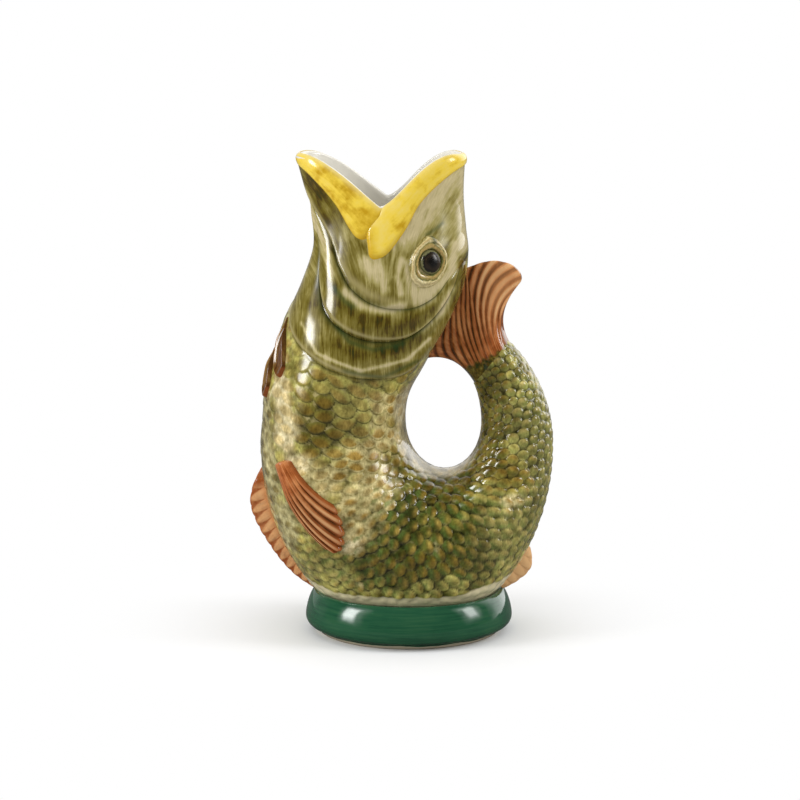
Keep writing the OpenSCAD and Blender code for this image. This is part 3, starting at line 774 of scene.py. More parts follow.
# Head: the neck and head in one piece, with the wide open mouth as the spout. The face stands proud
# of the cheeks, the last scales run up to the gill covers, and the glaze inside is white.
head_columns = 320
head_rows = 216
head_rim_rows = 10
head_inner_rows = 40
notch_h = 25 * MM
notch_shift = 0.05
upper_sag = 1.55
lower_sag = 1.15
upper_worn = 1.0 * MM
lower_worn = 2.0 * MM
rim_round_h = 1.6 * MM
rim_wall = 3.4 * MM
rim_thin_share = 0.16
face_rise = 2.2 * MM
# The face's rear edge: angle from the nape in degrees, height share, and how far it stands proud
face_edge_shares = np.array([
    (0, 0.600, 0.0), (37, 0.560, 0.0), (46, 0.500, 0.1), (60, 0.465, 0.25), (78, 0.465, 0.5),
    (95, 0.490, 0.9), (112, 0.540, 1.0), (128, 0.620, 1.0), (137, 0.700, 1.0), (148, 0.770, 1.0),
    (161, 0.840, 0.9), (172, 0.900, 0.4), (180, 0.920, 0.0),
])
# Brushed lines on the head: points x, z in mm, and the width of the brush
pale_lines = [
    ([(-48, 222), (-42, 210), (-36, 196), (-32, 184)], 2.5),
    ([(-14, 191), (-9, 184)], 4.0),
    ([(8, 183), (10, 176), (12, 171)], 4.0),
    ([(5, 191), (6, 183), (8, 176), (11, 170)], 1.5),
    ([(4, 203), (14, 217), (26, 230)], 7.0),
    ([(31, 236), (33, 215), (32, 196)], 5.0),
    ([(13, 173), (19, 176.5), (26.5, 185), (28, 198)], 2.3),
    ([(27, 176), (21, 164), (13, 157)], 2.0),
    ([(-46, 160), (-38, 147), (-16, 139), (6, 143), (16, 152)], 0.9),
    ([(-24, 176), (-16, 170), (-6, 168), (4, 170)], 2.2),
    ([(-10, 193), (-7, 186), (-5, 178)], 2.4),
    ([(3, 192), (1, 184), (3, 176)], 1.9),
    ([(13, 186), (15, 179), (16, 173)], 4.0),
]
dark_lines = [
    ([(-42, 226), (-37, 214), (-32, 200), (-28, 190)], 5.0),
    ([(-26, 172), (-14, 163), (2, 160), (17, 168)], 4.5),
    ([(-40, 200), (-35, 184), (-26, 172)], 2.6),
    ([(-30, 152), (-14, 146), (6, 150), (20, 162)], 3.5),
    ([(33, 190), (31, 178), (26, 168)], 3.2),
]
# Green lines under the edges of the head's rolls: partly pooled glaze, partly painted shade.
green_lines = [
    ([(-28, 160), (-22, 153), (-10, 149), (4, 151)], 1.3),
    ([(-24, 139), (-6, 135), (10, 141)], 1.2),
    ([(-30, 178), (-24, 172), (-20, 170)], 1.6),
    ([(15, 203.5), (18, 205.5), (22, 208.5)], 1.1),
]
stroke_x = -5 * MM
stroke_z = 195 * MM
stroke_fan = 50 * MM
# Width and length of the strokes, and the size of the wash over them
stroke_fine = (1.6 * MM, 13 * MM)
stroke_broad = (5 * MM, 20 * MM)
stroke_hair = (0.6 * MM, 6 * MM)
stroke_wash = 10 * MM
stroke_low = -15 * MM
stroke_high = 45 * MM
moss = (0.225, 0.184, 0.042, 1)
pale_olive = (0.40, 0.345, 0.125, 1)
crest_cream = (0.43, 0.365, 0.165, 1)
wet_green = (0.028, 0.060, 0.016, 1)


def brushed(points, lines):
    """How strongly brushed lines cover points, from 0 to 1, seen from the side."""
    flat = points[:, [0, 2]] / MM
    cover = np.zeros(len(flat))
    for ends, width in lines:
        for start, end in zip(np.array(ends[:-1], float), np.array(ends[1:], float)):
            way = end - start
            part = np.clip((flat - start) @ way / (way @ way), 0, 1)
            far = np.linalg.norm(flat - start - part[:, None] * way, axis=1)
            cover = np.maximum(cover, np.exp(-((far / width) ** 2)))
    return cover


def store_strokes(piece, points):
    """Stores where points lie across and along the brush strokes of the head, which fan out upwards,
    and the lines that are brushed over them."""
    x, z = points[:, 0], points[:, 2]
    fan = np.exp(-np.clip(z - stroke_z, stroke_low, stroke_high) / stroke_fan)
    store(piece, "flow", (x - stroke_x) * fan)
    store(piece, "run", z)
    for name, lines in (("pale", pale_lines), ("dark", dark_lines), ("wet_and_shade", green_lines)):
        store(piece, name, brushed(points, lines))


def rim_share(angle):
    """Height share of the mouth's rim, which dips to a notch at each corner of the mouth."""
    c = np.cos(angle) + notch_shift
    sag = np.where(c > 0, upper_sag, lower_sag)
    worn = np.where(c > 0, upper_worn, lower_worn) * np.minimum(np.abs(c), 1) ** 8
    dip = notch_h * (1 - np.sin(math.pi / 2 * np.minimum(np.abs(c), 1)) ** sag) + worn
    return 1 - dip / head_rise


def strokes(glaze, fine, long, shift=0.0):
    """Noise drawn out along a piece's own length, as a brush leaves it."""
    sides = {"X": mark(glaze, "across"), "Y": mark(glaze, "along"), "Z": shift}
    place = node(glaze, "ShaderNodeCombineXYZ", sides).outputs[0]
    spots = node(glaze, "ShaderNodeMapping", {"Vector": place, "Scale": (fine, long, 1)}).outputs[0]
    noise = {"Vector": spots, "Scale": 1.0, "Detail": 5, "Roughness": 0.65}
    return node(glaze, "ShaderNodeTexNoise", noise).outputs["Fac"]


def drawn(glaze, fine, long, shift=0.0, detail=4):
    """Noise drawn out along the strokes of the head; both sizes are in metres."""
    sides = {"X": mark(glaze, "flow"), "Y": mark(glaze, "run")}
    place = node(glaze, "ShaderNodeCombineXYZ", sides).outputs[0]
    moved = {"Vector": place, "Scale": (1 / fine, 1 / long, 1), "Location": (shift,) * 3}
    spots = node(glaze, "ShaderNodeMapping", moved).outputs[0]
    noise = {"Vector": spots, "Scale": 1.0, "Detail": detail, "Roughness": 0.6, "Distortion": 0.7}
    return node(glaze, "ShaderNodeTexNoise", noise).outputs["Fac"]


def head_colour(glaze):
    """Olive strokes from cream to brown, dark green under the edges, partly pooled glaze and partly
    painted shade, and pale on their crests, partly a painted highlight.
    """
    hand = weighed(
        glaze,
        (drawn(glaze, *stroke_fine), 0.34),
        (drawn(glaze, *stroke_broad, shift=2.0), 0.40),
        (speckle(glaze, stroke_wash, shift=1.3), 0.26),
    )
    light = times(glaze, mark(glaze, "pale"), 0.23)
    shade = times(glaze, mark(glaze, "dark"), 0.09)
    tone = sum_of(glaze, "SUBTRACT", sum_of(glaze, "ADD", hand, light), shade)
    colour = ramp(glaze, tone, [
        (0.32, pool_green), (0.39, umber), (0.445, olive), (0.51, moss), (0.60, pale_olive), (0.72, cream),
    ])
    colour = grained(glaze, drawn(glaze, *stroke_hair, shift=9.0, detail=2), colour, 0.45)
    # Pale on the crests, partly a painted highlight; dark green in the creases under the edges and along the
    # green lines, partly pooled glaze and partly painted shade.
    colour = touch(glaze, colour, "crest", 0.6, crest_cream)
    colour = touch(glaze, colour, "pool_and_shade", 0.85, pool_green)
    return touch(glaze, colour, "wet_and_shade", 0.6, wet_green)


def face_colour(glaze):
    """The head's strokes, running out into scales, and white over the rim and inside."""
    colour = lay(glaze, mark(glaze, "scaled"), head_colour(glaze), scale_colour(glaze))
    return lay(glaze, mark(glaze, "white"), colour, white_glaze)


head_path = head_rows + head_rim_rows + head_inner_rows + 1
head_piece, across, along = new_grid("olive_head", head_columns, head_path)
step = np.rint(along * head_path)
head_top = head_rows + head_rim_rows
up, over, down = (
    np.where(step == head_path, 0, np.clip((step - first) / rows, 0, 1))
    for first, rows in ((0, head_rows), (head_rows, head_rim_rows), (head_top, head_inner_rows))
)
angle = 2 * math.pi * across
rim = rim_share(angle)
share = -neck_joint + (rim + neck_joint) * np.where(over > 0, 1 - down, up)
face_edge = np.interp(folded(angle), face_edge_shares[:, 0], face_edge_shares[:, 1])
proud = np.interp(folded(angle), face_edge_shares[:, 0], face_edge_shares[:, 2])
ahead = share - face_edge
face = face_rise * proud * soft_step(-0.012, 0.012, ahead) * np.exp(-np.clip(ahead, 0, 1) / 0.12)
behind = gill_edge(angle) - share
scaled = soft_step(0.0, 0.02, behind) * (over == 0)
height = carve(head_piece, -share, angle, scaled)
depth = (rim_wall + (wall - rim_wall) * soft_step(0, rim_thin_share, rim - share)) / 2
inset = depth * (1 - np.cos(math.pi * over))
points = np.where((over > 0)[:, None], skin(-share, angle, inset), raised(-share, angle, height + face))
points[:, 2] += rim_round_h * np.sin(math.pi * over)
place_points(head_piece, points)
store(head_piece, "scaled", scaled)
rim_edge = (over == 0) * soft_step(0.016, 0.008, rim - share)
store(head_piece, "white", np.maximum(soft_step(0.05, 0.2, over), rim_edge))
store_strokes(head_piece, points)
# Pale on the crest of the face's raised rear edge, partly a painted highlight; dark just below that edge and
# along the gill cover's rear edge, partly pooled glaze and partly painted shade.
store(head_piece, "crest", np.exp(-(((ahead - 0.022) / 0.014) ** 2)) * proud)
store(head_piece, "pool_and_shade", np.maximum(
    np.exp(-(((ahead + 0.014) / 0.016) ** 2)) * proud, 0.8 * np.exp(-((behind / 0.012) ** 2))
) * (over == 0))
close_up(head_piece)
dress(head_piece, new_glaze("face_glaze", face_colour, wave=0.15), "head_glaze", "head_shell")

# Gill covers and cheeks: flat rolls of clay pressed on each side of the head, thin in front and
# rounded at the back, where the one lies over the next and the last over the first scales.
# Share along a plate, then height share and angle of the cheek's front, of the joint and of the rear
plate_shares = np.array([
    (0.00, 0.840, 161, 0.850, 167, 0.760, 171),
    (0.11, 0.770, 148, 0.750, 159, 0.650, 169),
    (0.22, 0.700, 137, 0.660, 153, 0.530, 165),
    (0.33, 0.620, 128, 0.560, 142, 0.410, 156),
    (0.44, 0.540, 112, 0.460, 125, 0.330, 137),
    (0.56, 0.490, 95, 0.385, 103, 0.246, 104),
    (0.67, 0.465, 78, 0.345, 78, 0.205, 72),
    (0.78, 0.465, 60, 0.355, 53, 0.213, 36),
    (0.89, 0.500, 46, 0.440, 36, 0.340, 16),
    (1.00, 0.560, 37, 0.600, 24, 0.620, 12),
])
plate_columns = 44
plate_rows = 170
plate_end = 0.4
gill_t = 3.4 * MM
cheek_t = 3.0 * MM
pad_sink = 0.6 * MM


def eased(x):
    """Shares drawn closer together at both ends."""
    return (1 - np.cos(math.pi * x)) / 2


def rounded(x, width):
    """A profile that rises round from 0 at both ends of a share to 1."""
    return np.sqrt(1 - (1 - np.clip(np.minimum(x, 1 - x) / width, 0, 1)) ** 2)


def new_pad(name, columns, rows, shape, ring=False, bend=None):
    """A pad of clay on the skin. shape gives place, angle, height and marks for shares s across and
    t along it; the height falls to 0 at the edges, which sink into the skin; bend moves its points."""
    piece, across, along = new_grid(name, 2 * columns, rows)
    under = across > 0.5
    s = eased(np.where(under, 2 - 2 * across, 2 * across))
    t = along if ring else eased(along)
    place, angle, height, marks = shape(s, t)
    points = raised(place, angle, np.where(under, 0, height) - pad_sink)
    if bend is not None:
        points += bend(place, angle, s)
    place_points(piece, points)
    for key, shares in marks.items():
        store(piece, key, shares)
    store(piece, "across", s)
    store(piece, "along", t)
    store_strokes(piece, points)
    close_up(piece)
    return piece


def mirrored(piece, name):
    """The same piece on the fish's other side."""
    only(piece)
    bpy.ops.object.duplicate()
    other = bpy.context.object
    other.name = name
    bpy.ops.object.mode_set(mode="EDIT")
    bpy.ops.mesh.select_all(action="SELECT")
    bpy.ops.transform.resize(value=(1, -1, 1), center_override=(0, 0, 0))
    bpy.ops.mesh.normals_make_consistent(inside=False)
    bpy.ops.object.mode_set(mode="OBJECT")
    return other


def dress_pair(right, glaze, slot, name):
    """Dresses a piece of the fish's right side and its mirror image on the left."""
    left = mirrored(right, right.name.replace("right_", "left_"))
    for piece, side in ((right, "right_"), (left, "left_")):
        dress(piece, glaze, slot, side + name)


def plate_shape(front, rear, thick):
    """The shape of a plate between two lines of the table."""

    def shape(s, t):
        def line(column):
            ahead, behind = curve(plate_shares, t, front + column), curve(plate_shares, t, rear + column)
            return ahead * (1 - s) + behind * s

        ends = (plate_end + (1 - plate_end) * np.sin(math.pi * t)) * rounded(t, 0.03)
        roll = 0.16 + 0.62 * s**1.2 + 0.55 * np.sin(math.pi * s**0.9)
        tail = np.sqrt(1 - np.clip((s - 0.86) / 0.14, 0, 1) ** 2) * np.clip(s / 0.03, 0, 1)
        height = (thick * roll + pad_sink) * ends * tail
        # Pale on the rolled rear edge, partly a painted highlight; dark along the thin front edge, where it
        # meets the part before it, partly pooled glaze and partly painted shade.
        crest = np.exp(-(((s - 0.90) / 0.05) ** 2))
        pool_and_shade = np.exp(-((s / 0.10) ** 2))
        return -line(0), np.radians(line(1)), height, {"crest": crest, "pool_and_shade": pool_and_shade}

    return shape


gill_glaze = new_glaze("gill_glaze", head_colour, wave=0.15)
for name, front, rear, thick in (("gill_cover", 3, 5, gill_t), ("cheek", 1, 3, cheek_t)):
    plate = new_pad("right_" + name + "_plate", plate_columns, plate_rows, plate_shape(front, rear, thick))
    dress_pair(plate, gill_glaze, "head_glaze", name)

# Lips: two broad rolls of clay laid along the mouth's rim, glazed yellow. The upper lip ends in a
# round lobe on each side and lies over the end of the lower one.
# Share from the middle to a corner, upper edge's angle and drop below the rim, lower edge's angle and
# height share
upper_lip_shares = np.array([
    (0.00, 0, 0.012, 0, 0.966), (0.16, 30, 0.012, 26, 0.944), (0.30, 45, 0.012, 45, 0.900),
    (0.44, 63, 0.012, 62, 0.832), (0.58, 75, 0.012, 73, 0.757), (0.72, 87, 0.012, 84, 0.690),
    (0.84, 94, 0.030, 92, 0.648), (0.93, 101, 0.088, 99, 0.634), (1.00, 106, 0.150, 104, 0.645),
])
lower_lip_shares = np.array([
    (0.00, 180, 0.012, 180, 0.966), (0.20, 158, 0.012, 157, 0.942), (0.40, 140, 0.012, 141, 0.893),
    (0.60, 123, 0.012, 128, 0.826), (0.78, 107, 0.012, 120, 0.752), (0.90, 97, 0.012, 114, 0.712),
    (1.00, 88, 0.020, 106, 0.700),
])
lip_t = 2.2 * MM
lower_lip_t = 0.85 * lip_t
lip_lap = 0.012
lip_bend_from = 0.72
lip_bend = math.radians(66)
lip_crest_h = 0.3 * MM
lip_columns = 30
lip_rows = 260
lip_wash = 8 * MM
lip_yellow = (0.88, 0.64, 0.070, 1)
lip_amber = (0.56, 0.330, 0.012, 1)
lip_pale = (0.86, 0.70, 0.25, 1)


def lip_colour(glaze):
    """Yellow, amber where the glaze is thick and in the crease against the face and at the ends, partly
    as painted shade, and pale on the edges.
    """
    tone = weighed(glaze, (strokes(glaze, 4, 7), 0.4), (speckle(glaze, lip_wash, shift=2.2), 0.6))
    tone = sum_of(glaze, "SUBTRACT", tone, mark(glaze, "thick"))
    colour = ramp(glaze, tone, [(0.32, lip_amber), (0.46, lip_yellow), (0.80, lip_pale)])
    # Amber in the crease against the face and at the ends: partly pooled glaze, partly painted shade.
    colour = touch(glaze, colour, "pool_and_shade", 0.7, lip_amber)
    return touch(glaze, colour, "crest", 0.8, lip_pale)


def lip_shape(rows, thick, coat):
    """The shape of a lip from its table; coat is how thick the glaze lies near its corners."""

    def shape(s, t):
        corner = np.abs(2 * t - 1)
        upper = curve(rows, corner, 1)
        turn = curve(rows, corner, 3) * (1 - s) + upper * s
        drop = np.maximum(curve(rows, corner, 2) - lip_lap, 0)
        share = curve(rows, corner, 4) * (1 - s) + (rim_share(np.radians(upper)) - drop) * s
        roll = np.clip(s / 0.16, 0, 1) ** 0.5 * (1 - np.clip((s - 0.7) / 0.3, 0, 1) ** 2) ** 0.5
        swell = (0.40 + 0.60 * soft_step(0.0, 0.7, corner)) * (0.8 + 0.25 * np.sin(math.pi * s))
        height = (thick * roll * swell + pad_sink) * rounded(t, 0.03) * (roll > 0)
        # Dark along the edge against the face and at the ends: partly pooled glaze, partly painted shade.
        pool_and_shade = np.exp(-((s / 0.10) ** 2)) + soft_step(0.86, 1.0, corner)
        crest = np.exp(-(((s - 1) / 0.06) ** 2))
        return -share, np.radians(turn) * np.sign(2 * t - 1 + 1e-9), height, {
            "pool_and_shade": pool_and_shade, "crest": crest, "thick": coat * soft_step(0.1, 0.6, corner),
        }

    return shape


def over_rim(place, angle, s):
    """Bends a lip's upper edge over the rim, up to its crest."""
    near = soft_step(0.03, 0.0, rim_share(angle) + place)
    over = np.clip((s - lip_bend_from) / (1 - lip_bend_from), 0, 1) * near * lip_bend
    inward = -outward(place, angle) * [1, 1, 0]
    lift = (rim_round_h + lip_crest_h) * np.sin(over)
    return inward * (rim_wall / 2 * (1 - np.cos(over)))[:, None] + lift[:, None] * [0, 0, 1]


lip_glaze = new_glaze("lip_glaze", lip_colour, wave=0.2)
for name, rows, thick, coat in (
    ("lower_lip", lower_lip_shares, lower_lip_t, 0.09), ("upper_lip", upper_lip_shares, lip_t, 0.0),
):
    lip = new_pad("yellow_" + name, lip_columns, lip_rows, lip_shape(rows, thick, coat), bend=over_rim)
    dress(lip, lip_glaze, "lip_glaze", name)

# Eyes: a glossy black button of clay on each side of the head, pressed into a drop-shaped ring of clay
# with two furrows, the socket, which is brushed in tan, cream and green.
eye_share = 0.625
eye_turn = math.radians(57)
eye_r = 6 * MM
eye_narrow = 0.92
eye_lift = 0.5 * MM
eye_dome_h = 3.4 * MM
socket_l = 21 * MM
socket_h = 26 * MM
socket_t = 2.2 * MM
socket_point = 0.34
socket_columns = 30
socket_rows = 120
socket_wander = 5 * MM
socket_grain = 1.2 * MM
eye_wander = 2 * MM
socket_cream = (0.80, 0.69, 0.36, 1)
socket_tan = (0.56, 0.40, 0.15, 1)
socket_green = (0.20, 0.205, 0.065, 1)
eye_black = (0.006, 0.005, 0.004, 1)
eye_grey = (0.030, 0.019, 0.009, 1)
eye_ring = (0.17, 0.165, 0.07, 1)
eye_arc = float(np.linalg.norm(round_skin(-eye_share, eye_turn)) / (2 * angle_nudge))


def socket_colour(glaze):
    """Rings of tan, cream and green, brushed by hand round the eye."""
    wander = span(glaze, speckle(glaze, socket_wander, shift=3.0), 0.3, 0.7, -0.10, 0.10)
    ring = sum_of(glaze, "ADD", mark(glaze, "across"), wander)
    colour = ramp(glaze, ring, [
        (0.06, socket_green), (0.14, socket_tan), (0.34, tan), (0.42, socket_green), (0.50, socket_cream),
        (0.62, cream), (0.70, socket_tan), (0.78, socket_cream), (0.90, moss), (1.0, pale_olive),
    ])
    colour = touch(glaze, colour, "crest", 0.75, cream)
    # Green in the furrow over the eye and the crease round it: partly pooled glaze, partly painted shade.
    colour = touch(glaze, colour, "pool_and_shade", 0.75, wet_green)
    return grained(glaze, speckle(glaze, socket_grain, shift=5.0), colour)


def socket_shape(s, t):
    """A drop-shaped ring with two furrows round the eye."""
    turn = -2 * math.pi * t
    narrow = 1 - socket_point * np.maximum(0, np.sin(turn)) ** 2
    x = (eye_r + (socket_l / 2 - eye_r) * s) * np.cos(turn) * (1 + (narrow - 1) * s)
    z = (eye_r + (socket_h / 2 - eye_r) * s) * np.sin(turn)
    furrow = np.exp(-(((s - 0.44) / 0.07) ** 2)) + 0.6 * np.exp(-(((s - 0.72) / 0.05) ** 2))
    height = socket_t * (0.42 + 0.58 * np.sin(math.pi * s**0.8) - 0.28 * furrow)
    height = height * rounded(s, 0.08) * soft_step(1.05, 0.72, s)
    height += pad_sink * rounded(s, 0.02)
    brow = np.exp(-(((t - 0.70) / 0.035) ** 2)) * soft_step(0.15, 0.5, s)
    under = soft_step(0.35, 0.9, np.sin(2 * math.pi * (t + 0.03))) * soft_step(0.45, 0.75, s)
    # Dark in the furrow over the eye and the crease next to it, partly pooled glaze and partly painted shade.
    marks = {"pool_and_shade": np.clip(brow + 0.6 * np.exp(-((s / 0.06) ** 2)), 0, 1), "crest": under}
    return -eye_share - z / head_rise, eye_turn + x / eye_arc, height, marks


def eye_colour(glaze):
    """A black pupil that clears to grey, with a pale ring round it."""
    wander = span(glaze, speckle(glaze, eye_wander), 0.3, 0.7, -0.06, 0.06)
    away = sum_of(glaze, "ADD", mark(glaze, "away"), wander)
    return ramp(glaze, away, [(0.30, eye_black), (0.62, eye_grey), (0.80, eye_black), (0.87, eye_ring)])


socket_glaze = new_glaze("socket_glaze", socket_colour, wave=0.2)
eye_glaze = new_glaze("eye_glaze", eye_colour, wave=0.05, gloss=(0.20, 0.34))
socket = new_pad("right_socket_ring", socket_columns, socket_rows, socket_shape, ring=True)
dress_pair(socket, socket_glaze, "socket_glaze", "eye_socket")
eye_out = Vector(outward(-eye_share, eye_turn))
eye_at = Vector(raised(-eye_share, eye_turn, eye_lift))
bpy.ops.object.select_all(action="DESELECT")
bpy.ops.mesh.primitive_uv_sphere_add(segments=64, ring_count=32, radius=1)
eye_piece = bpy.context.object
eye_piece.name = "right_eye_button"
eye_piece.scale = (eye_narrow * eye_r, eye_r, eye_dome_h)
eye_piece.rotation_euler = eye_out.to_track_quat("Z", "Y").to_euler()
eye_piece.location = eye_at
bpy.ops.object.transform_apply(location=True, rotation=True, scale=True)
eye_gaps = points_of(eye_piece) - np.array(eye_at)
eye_depth = eye_gaps @ np.array(eye_out)
store(eye_piece, "away", np.sqrt(np.maximum((eye_gaps**2).sum(-1) - eye_depth**2, 0)) / eye_r)
dress_pair(eye_piece, eye_glaze, "eye_glaze", "eye")

# Throat and breast fins: two pairs of small hollow leaves pressed on the throat, dark brown with a
# rust edge.
# Share across a fin, then place and angle of its root and of its tip
throat_fin_shares = np.array([
    (0.00, -0.400, 163, -0.225, 153), (0.33, -0.403, 162, -0.195, 146),
    (0.67, -0.403, 161, -0.190, 141), (1.00, -0.400, 160, -0.225, 139),
])
breast_fin_shares = np.array([
    (0.0, -0.280, 174, -0.135, 167), (0.5, -0.280, 171, -0.100, 158), (1.0, -0.280, 168, -0.140, 154),
])
leaf_swell = 0.5
leaf_t = 3.6 * MM
leaf_columns = 40
leaf_rows = 80
fin_ray_h = 0.55 * MM
bark = (0.055, 0.019, 0.004, 1)
bark_light = (0.17, 0.072, 0.016, 1)
rust = (0.310, 0.078, 0.017, 1)
terracotta = (0.500, 0.162, 0.047, 1)
peach = (0.75, 0.330, 0.125, 1)
fin_cream = (0.86, 0.520, 0.245, 1)


def fin_line(rows, s, t, swell):
    """Place and angle in a fin that lies on the skin."""
    centre = curve(rows, np.full_like(s, 0.5), 2) * (1 - t) + curve(rows, np.full_like(s, 0.5), 4) * t
    turn = curve(rows, s, 2) * (1 - t) + curve(rows, s, 4) * t
    place = curve(rows, s, 1) * (1 - t) + curve(rows, s, 3) * t
    return place, np.radians(centre + (turn - centre) * (1 + swell * np.sin(math.pi * t)))


def leaf_colour(glaze):
    """Brown strokes with a rust edge."""
    tone = strokes(glaze, 9, 2)
    colour = ramp(glaze, tone, [(0.40, bark), (0.60, bark_light), (0.80, tan)])
    colour = touch(glaze, colour, "crest", 0.8, rust)
    return touch(glaze, colour, "light", 0.35, tan)


def leaf_shape(rows):
    """The shape of a leaf from its table: cupped, with a raised edge and a thick tip."""

    def shape(s, t):
        place, angle = fin_line(rows, s, t, leaf_swell)
        middle = fin_line(rows, np.full_like(s, 0.5), t, leaf_swell)[1]
        angle = middle + (angle - middle) * (0.25 + 0.75 * soft_step(0, 0.45, t))
        edge = np.minimum(s, 1 - s)
        cup = 0.30 + 0.70 * np.maximum(np.exp(-((edge / 0.16) ** 2)), np.exp(-(((1 - t) / 0.12) ** 2)))
        thick = leaf_t * (0.25 + 0.75 * soft_step(0, 0.55, t)) * (1 - 0.35 * t) * cup
        height = (thick + pad_sink) * rounded(s, 0.10) * rounded(t, 0.05)
        crest = np.maximum(0.9 * np.exp(-(((edge - 0.11) / 0.025) ** 2)), np.exp(-(((1 - t) / 0.035) ** 2)))
        return place, angle, height, {"crest": crest, "light": np.exp(-(((s - 0.12) / 0.08) ** 2))}

    return shape


leaf_glaze = new_glaze("throat_fin_glaze", leaf_colour, wave=0.2)
for name, rows in (("throat_fin", throat_fin_shares), ("breast_fin", breast_fin_shares)):
    leaf = new_pad("right_" + name + "_leaf", leaf_columns, leaf_rows, leaf_shape(rows))
    dress_pair(leaf, leaf_glaze, "throat_fin_glaze", name)

# Side fins: a broad fin of long curved rays laid against each side of the belly, rust with brown
# furrows and a worn, ragged tip.
side_fin_shares = np.array([
    (0.00, 0.050, 134, 0.196, 113), (0.25, 0.048, 130, 0.216, 107), (0.50, 0.046, 126, 0.214, 99),
    (0.75, 0.046, 122, 0.188, 92), (1.00, 0.048, 118, 0.148, 91),
])
side_fin_t = 4.6 * MM
side_fin_rays = 7
fin_wash = 6 * MM
fin_mottle = 2.2 * MM
side_fin_columns = 90
side_fin_rows = 120


def fin_colour(glaze):
    """Brushed rust, with dark furrows, pale stripes on the ridges and a darker edge."""
    tone = weighed(glaze, (strokes(glaze, 30, 2), 0.6), (speckle(glaze, fin_wash, shift=4.0), 0.4))
    colour = ramp(glaze, tone, [(0.34, bark), (0.42, rust), (0.51, terracotta), (0.66, peach)])
    uneven = span(glaze, strokes(glaze, 14, 3, shift=6.0), 0.30, 0.60, 0.55, 1.0)
    for name, over in (
        ("shade", rust), ("light", peach), ("stripe", fin_cream), ("furrow", bark), ("crest", rust),
    ):
        colour = touch(glaze, colour, name, uneven, over)
    mottle = ramp(glaze, speckle(glaze, fin_mottle, shift=6.0), [
        (0.36, pool_green), (0.48, umber), (0.60, olive), (0.72, moss),
    ])
    return lay(glaze, mark(glaze, "scaly"), colour, mottle)


def ridges(s, count):
    """Round ridges with narrow furrows, from 0 in a furrow to 1 on a ridge."""
    return np.abs(np.sin(math.pi * count * s)) ** 0.6


def side_fin_shape(s, t):
    """Curved rays that lie on the belly, thickest at the root."""
    ray = ridges(s, side_fin_rays)
    place, angle = fin_line(side_fin_shares, s, t * (0.95 + 0.05 * ray), 0)
    deep = soft_step(0.12, 0.45, t)
    thick = side_fin_t * (1 - 0.5 * t) * (0.35 + 0.65 * np.sin(math.pi * s)) + 2 * fin_ray_h * ray * deep
    height = (thick + pad_sink) * rounded(s, 0.06) * rounded(t, 0.03)
    rim = np.maximum(np.exp(-(((1 - s) / 0.10) ** 2)), np.exp(-(((1 - t) / 0.06) ** 2)))
    shade = 0.45 * soft_step(0.10, 0.3, t) * soft_step(0.9, 0.6, s) + 0.6 * soft_step(0.68, 0.92, t)
    return place, angle, height, {
        "furrow": np.clip(1.25 * np.exp(-((ray / 0.62) ** 2)), 0, 1) * deep,
        "stripe": 0.6 * soft_step(0.84, 0.96, ray) * soft_step(0.25, 0.6, t),
        "shade": np.clip(shade, 0, 1),
        "crest": 0.9 * rim,
    }


fin_glaze = new_glaze("fin_glaze", fin_colour, wave=0.15)
side_fin = new_pad("right_side_fin_rays", side_fin_columns, side_fin_rows, side_fin_shape)
dress_pair(side_fin, fin_glaze, "fin_glaze", "side_fin")

# Keel fins: a fin along the middle of the breast and a short one behind, thick at the root, with
# short rays and a toothed edge.
# Share along a fin, height share and lean towards the tail
front_fin_shares = np.array([
    (0.00, 0.08, 0.1), (0.14, 0.84, 0.2), (0.24, 1.12, 0.35), (0.55, 0.85, 0.5), (0.80, 0.55, 0.5),
    (1.00, 0.15, 0.4),
])
rear_fin_shares = np.array([(0.00, 0.30, -0.4), (0.35, 0.80, -0.3), (0.70, 1.00, -0.2), (1.00, 0.15, 0.0)])
keel_fin_t = 5 * MM
keel_edge_t = 1.4 * MM
keel_root_h = 1.5 * MM
keel_columns = 26
keel_rows = 200


def new_fan(name, columns, rows, shape):
    """A fin that stands up on the midline: shape gives x, z, half thickness and marks for shares s
    from its root to its edge and t along it; the thickness falls to 0 at its edges."""
    piece, across, along = new_grid(name, 2 * columns, rows)
    under = across > 0.5
    s = np.where(under, 2 - 2 * across, 2 * across)
    s = 1 - (1 - s) ** 1.6
    x, z, half, marks = shape(s, eased(along))
    place_points(piece, np.stack([x, np.where(under, -half, half), z], axis=-1))
    for key, shares in marks.items():
        store(piece, key, shares)
    store(piece, "across", eased(along))
    store(piece, "along", s)
    close_up(piece)
    return piece


def keel_shape(rows, start, end, tall, rays, light, edge):
    """The shape of a keel fin from its table, between two places of the throat; light and edge are how
    pale it is and how dark its teeth are."""

    def shape(s, t):
        place = start + (end - start) * t
        throat = np.full_like(t, math.pi)
        ray = ridges(t, rays)
        reach = tall * curve(rows, t, 1) * (0.94 + 0.06 * ray) * s
        root = raised(place, throat, reach - keel_root_h * (1 - s))
        points = root + unit(along_skin(place, throat)) * (reach * curve(rows, t, 2))[:, None]
        half = (keel_fin_t + (keel_edge_t - keel_fin_t) * s + fin_ray_h * ray * np.sin(math.pi * s)) / 2
        half *= np.sqrt(1 - np.clip((s - 0.8) / 0.2, 0, 1) ** 2) * rounded(t, 0.02)
        teeth = soft_step(-0.10, 0.10, 0.95 * s - 0.18 - 0.72 * ray)
        return points[:, 0], points[:, 2], half, {
            "stripe": light * (0.35 + 0.45 * ray) * soft_step(0.0, 0.5, s),
            "light": light * soft_step(0.9, 0.1, s),
            "crest": edge * np.maximum(teeth, soft_step(0.18, 0.10, t)),
        }

    return shape


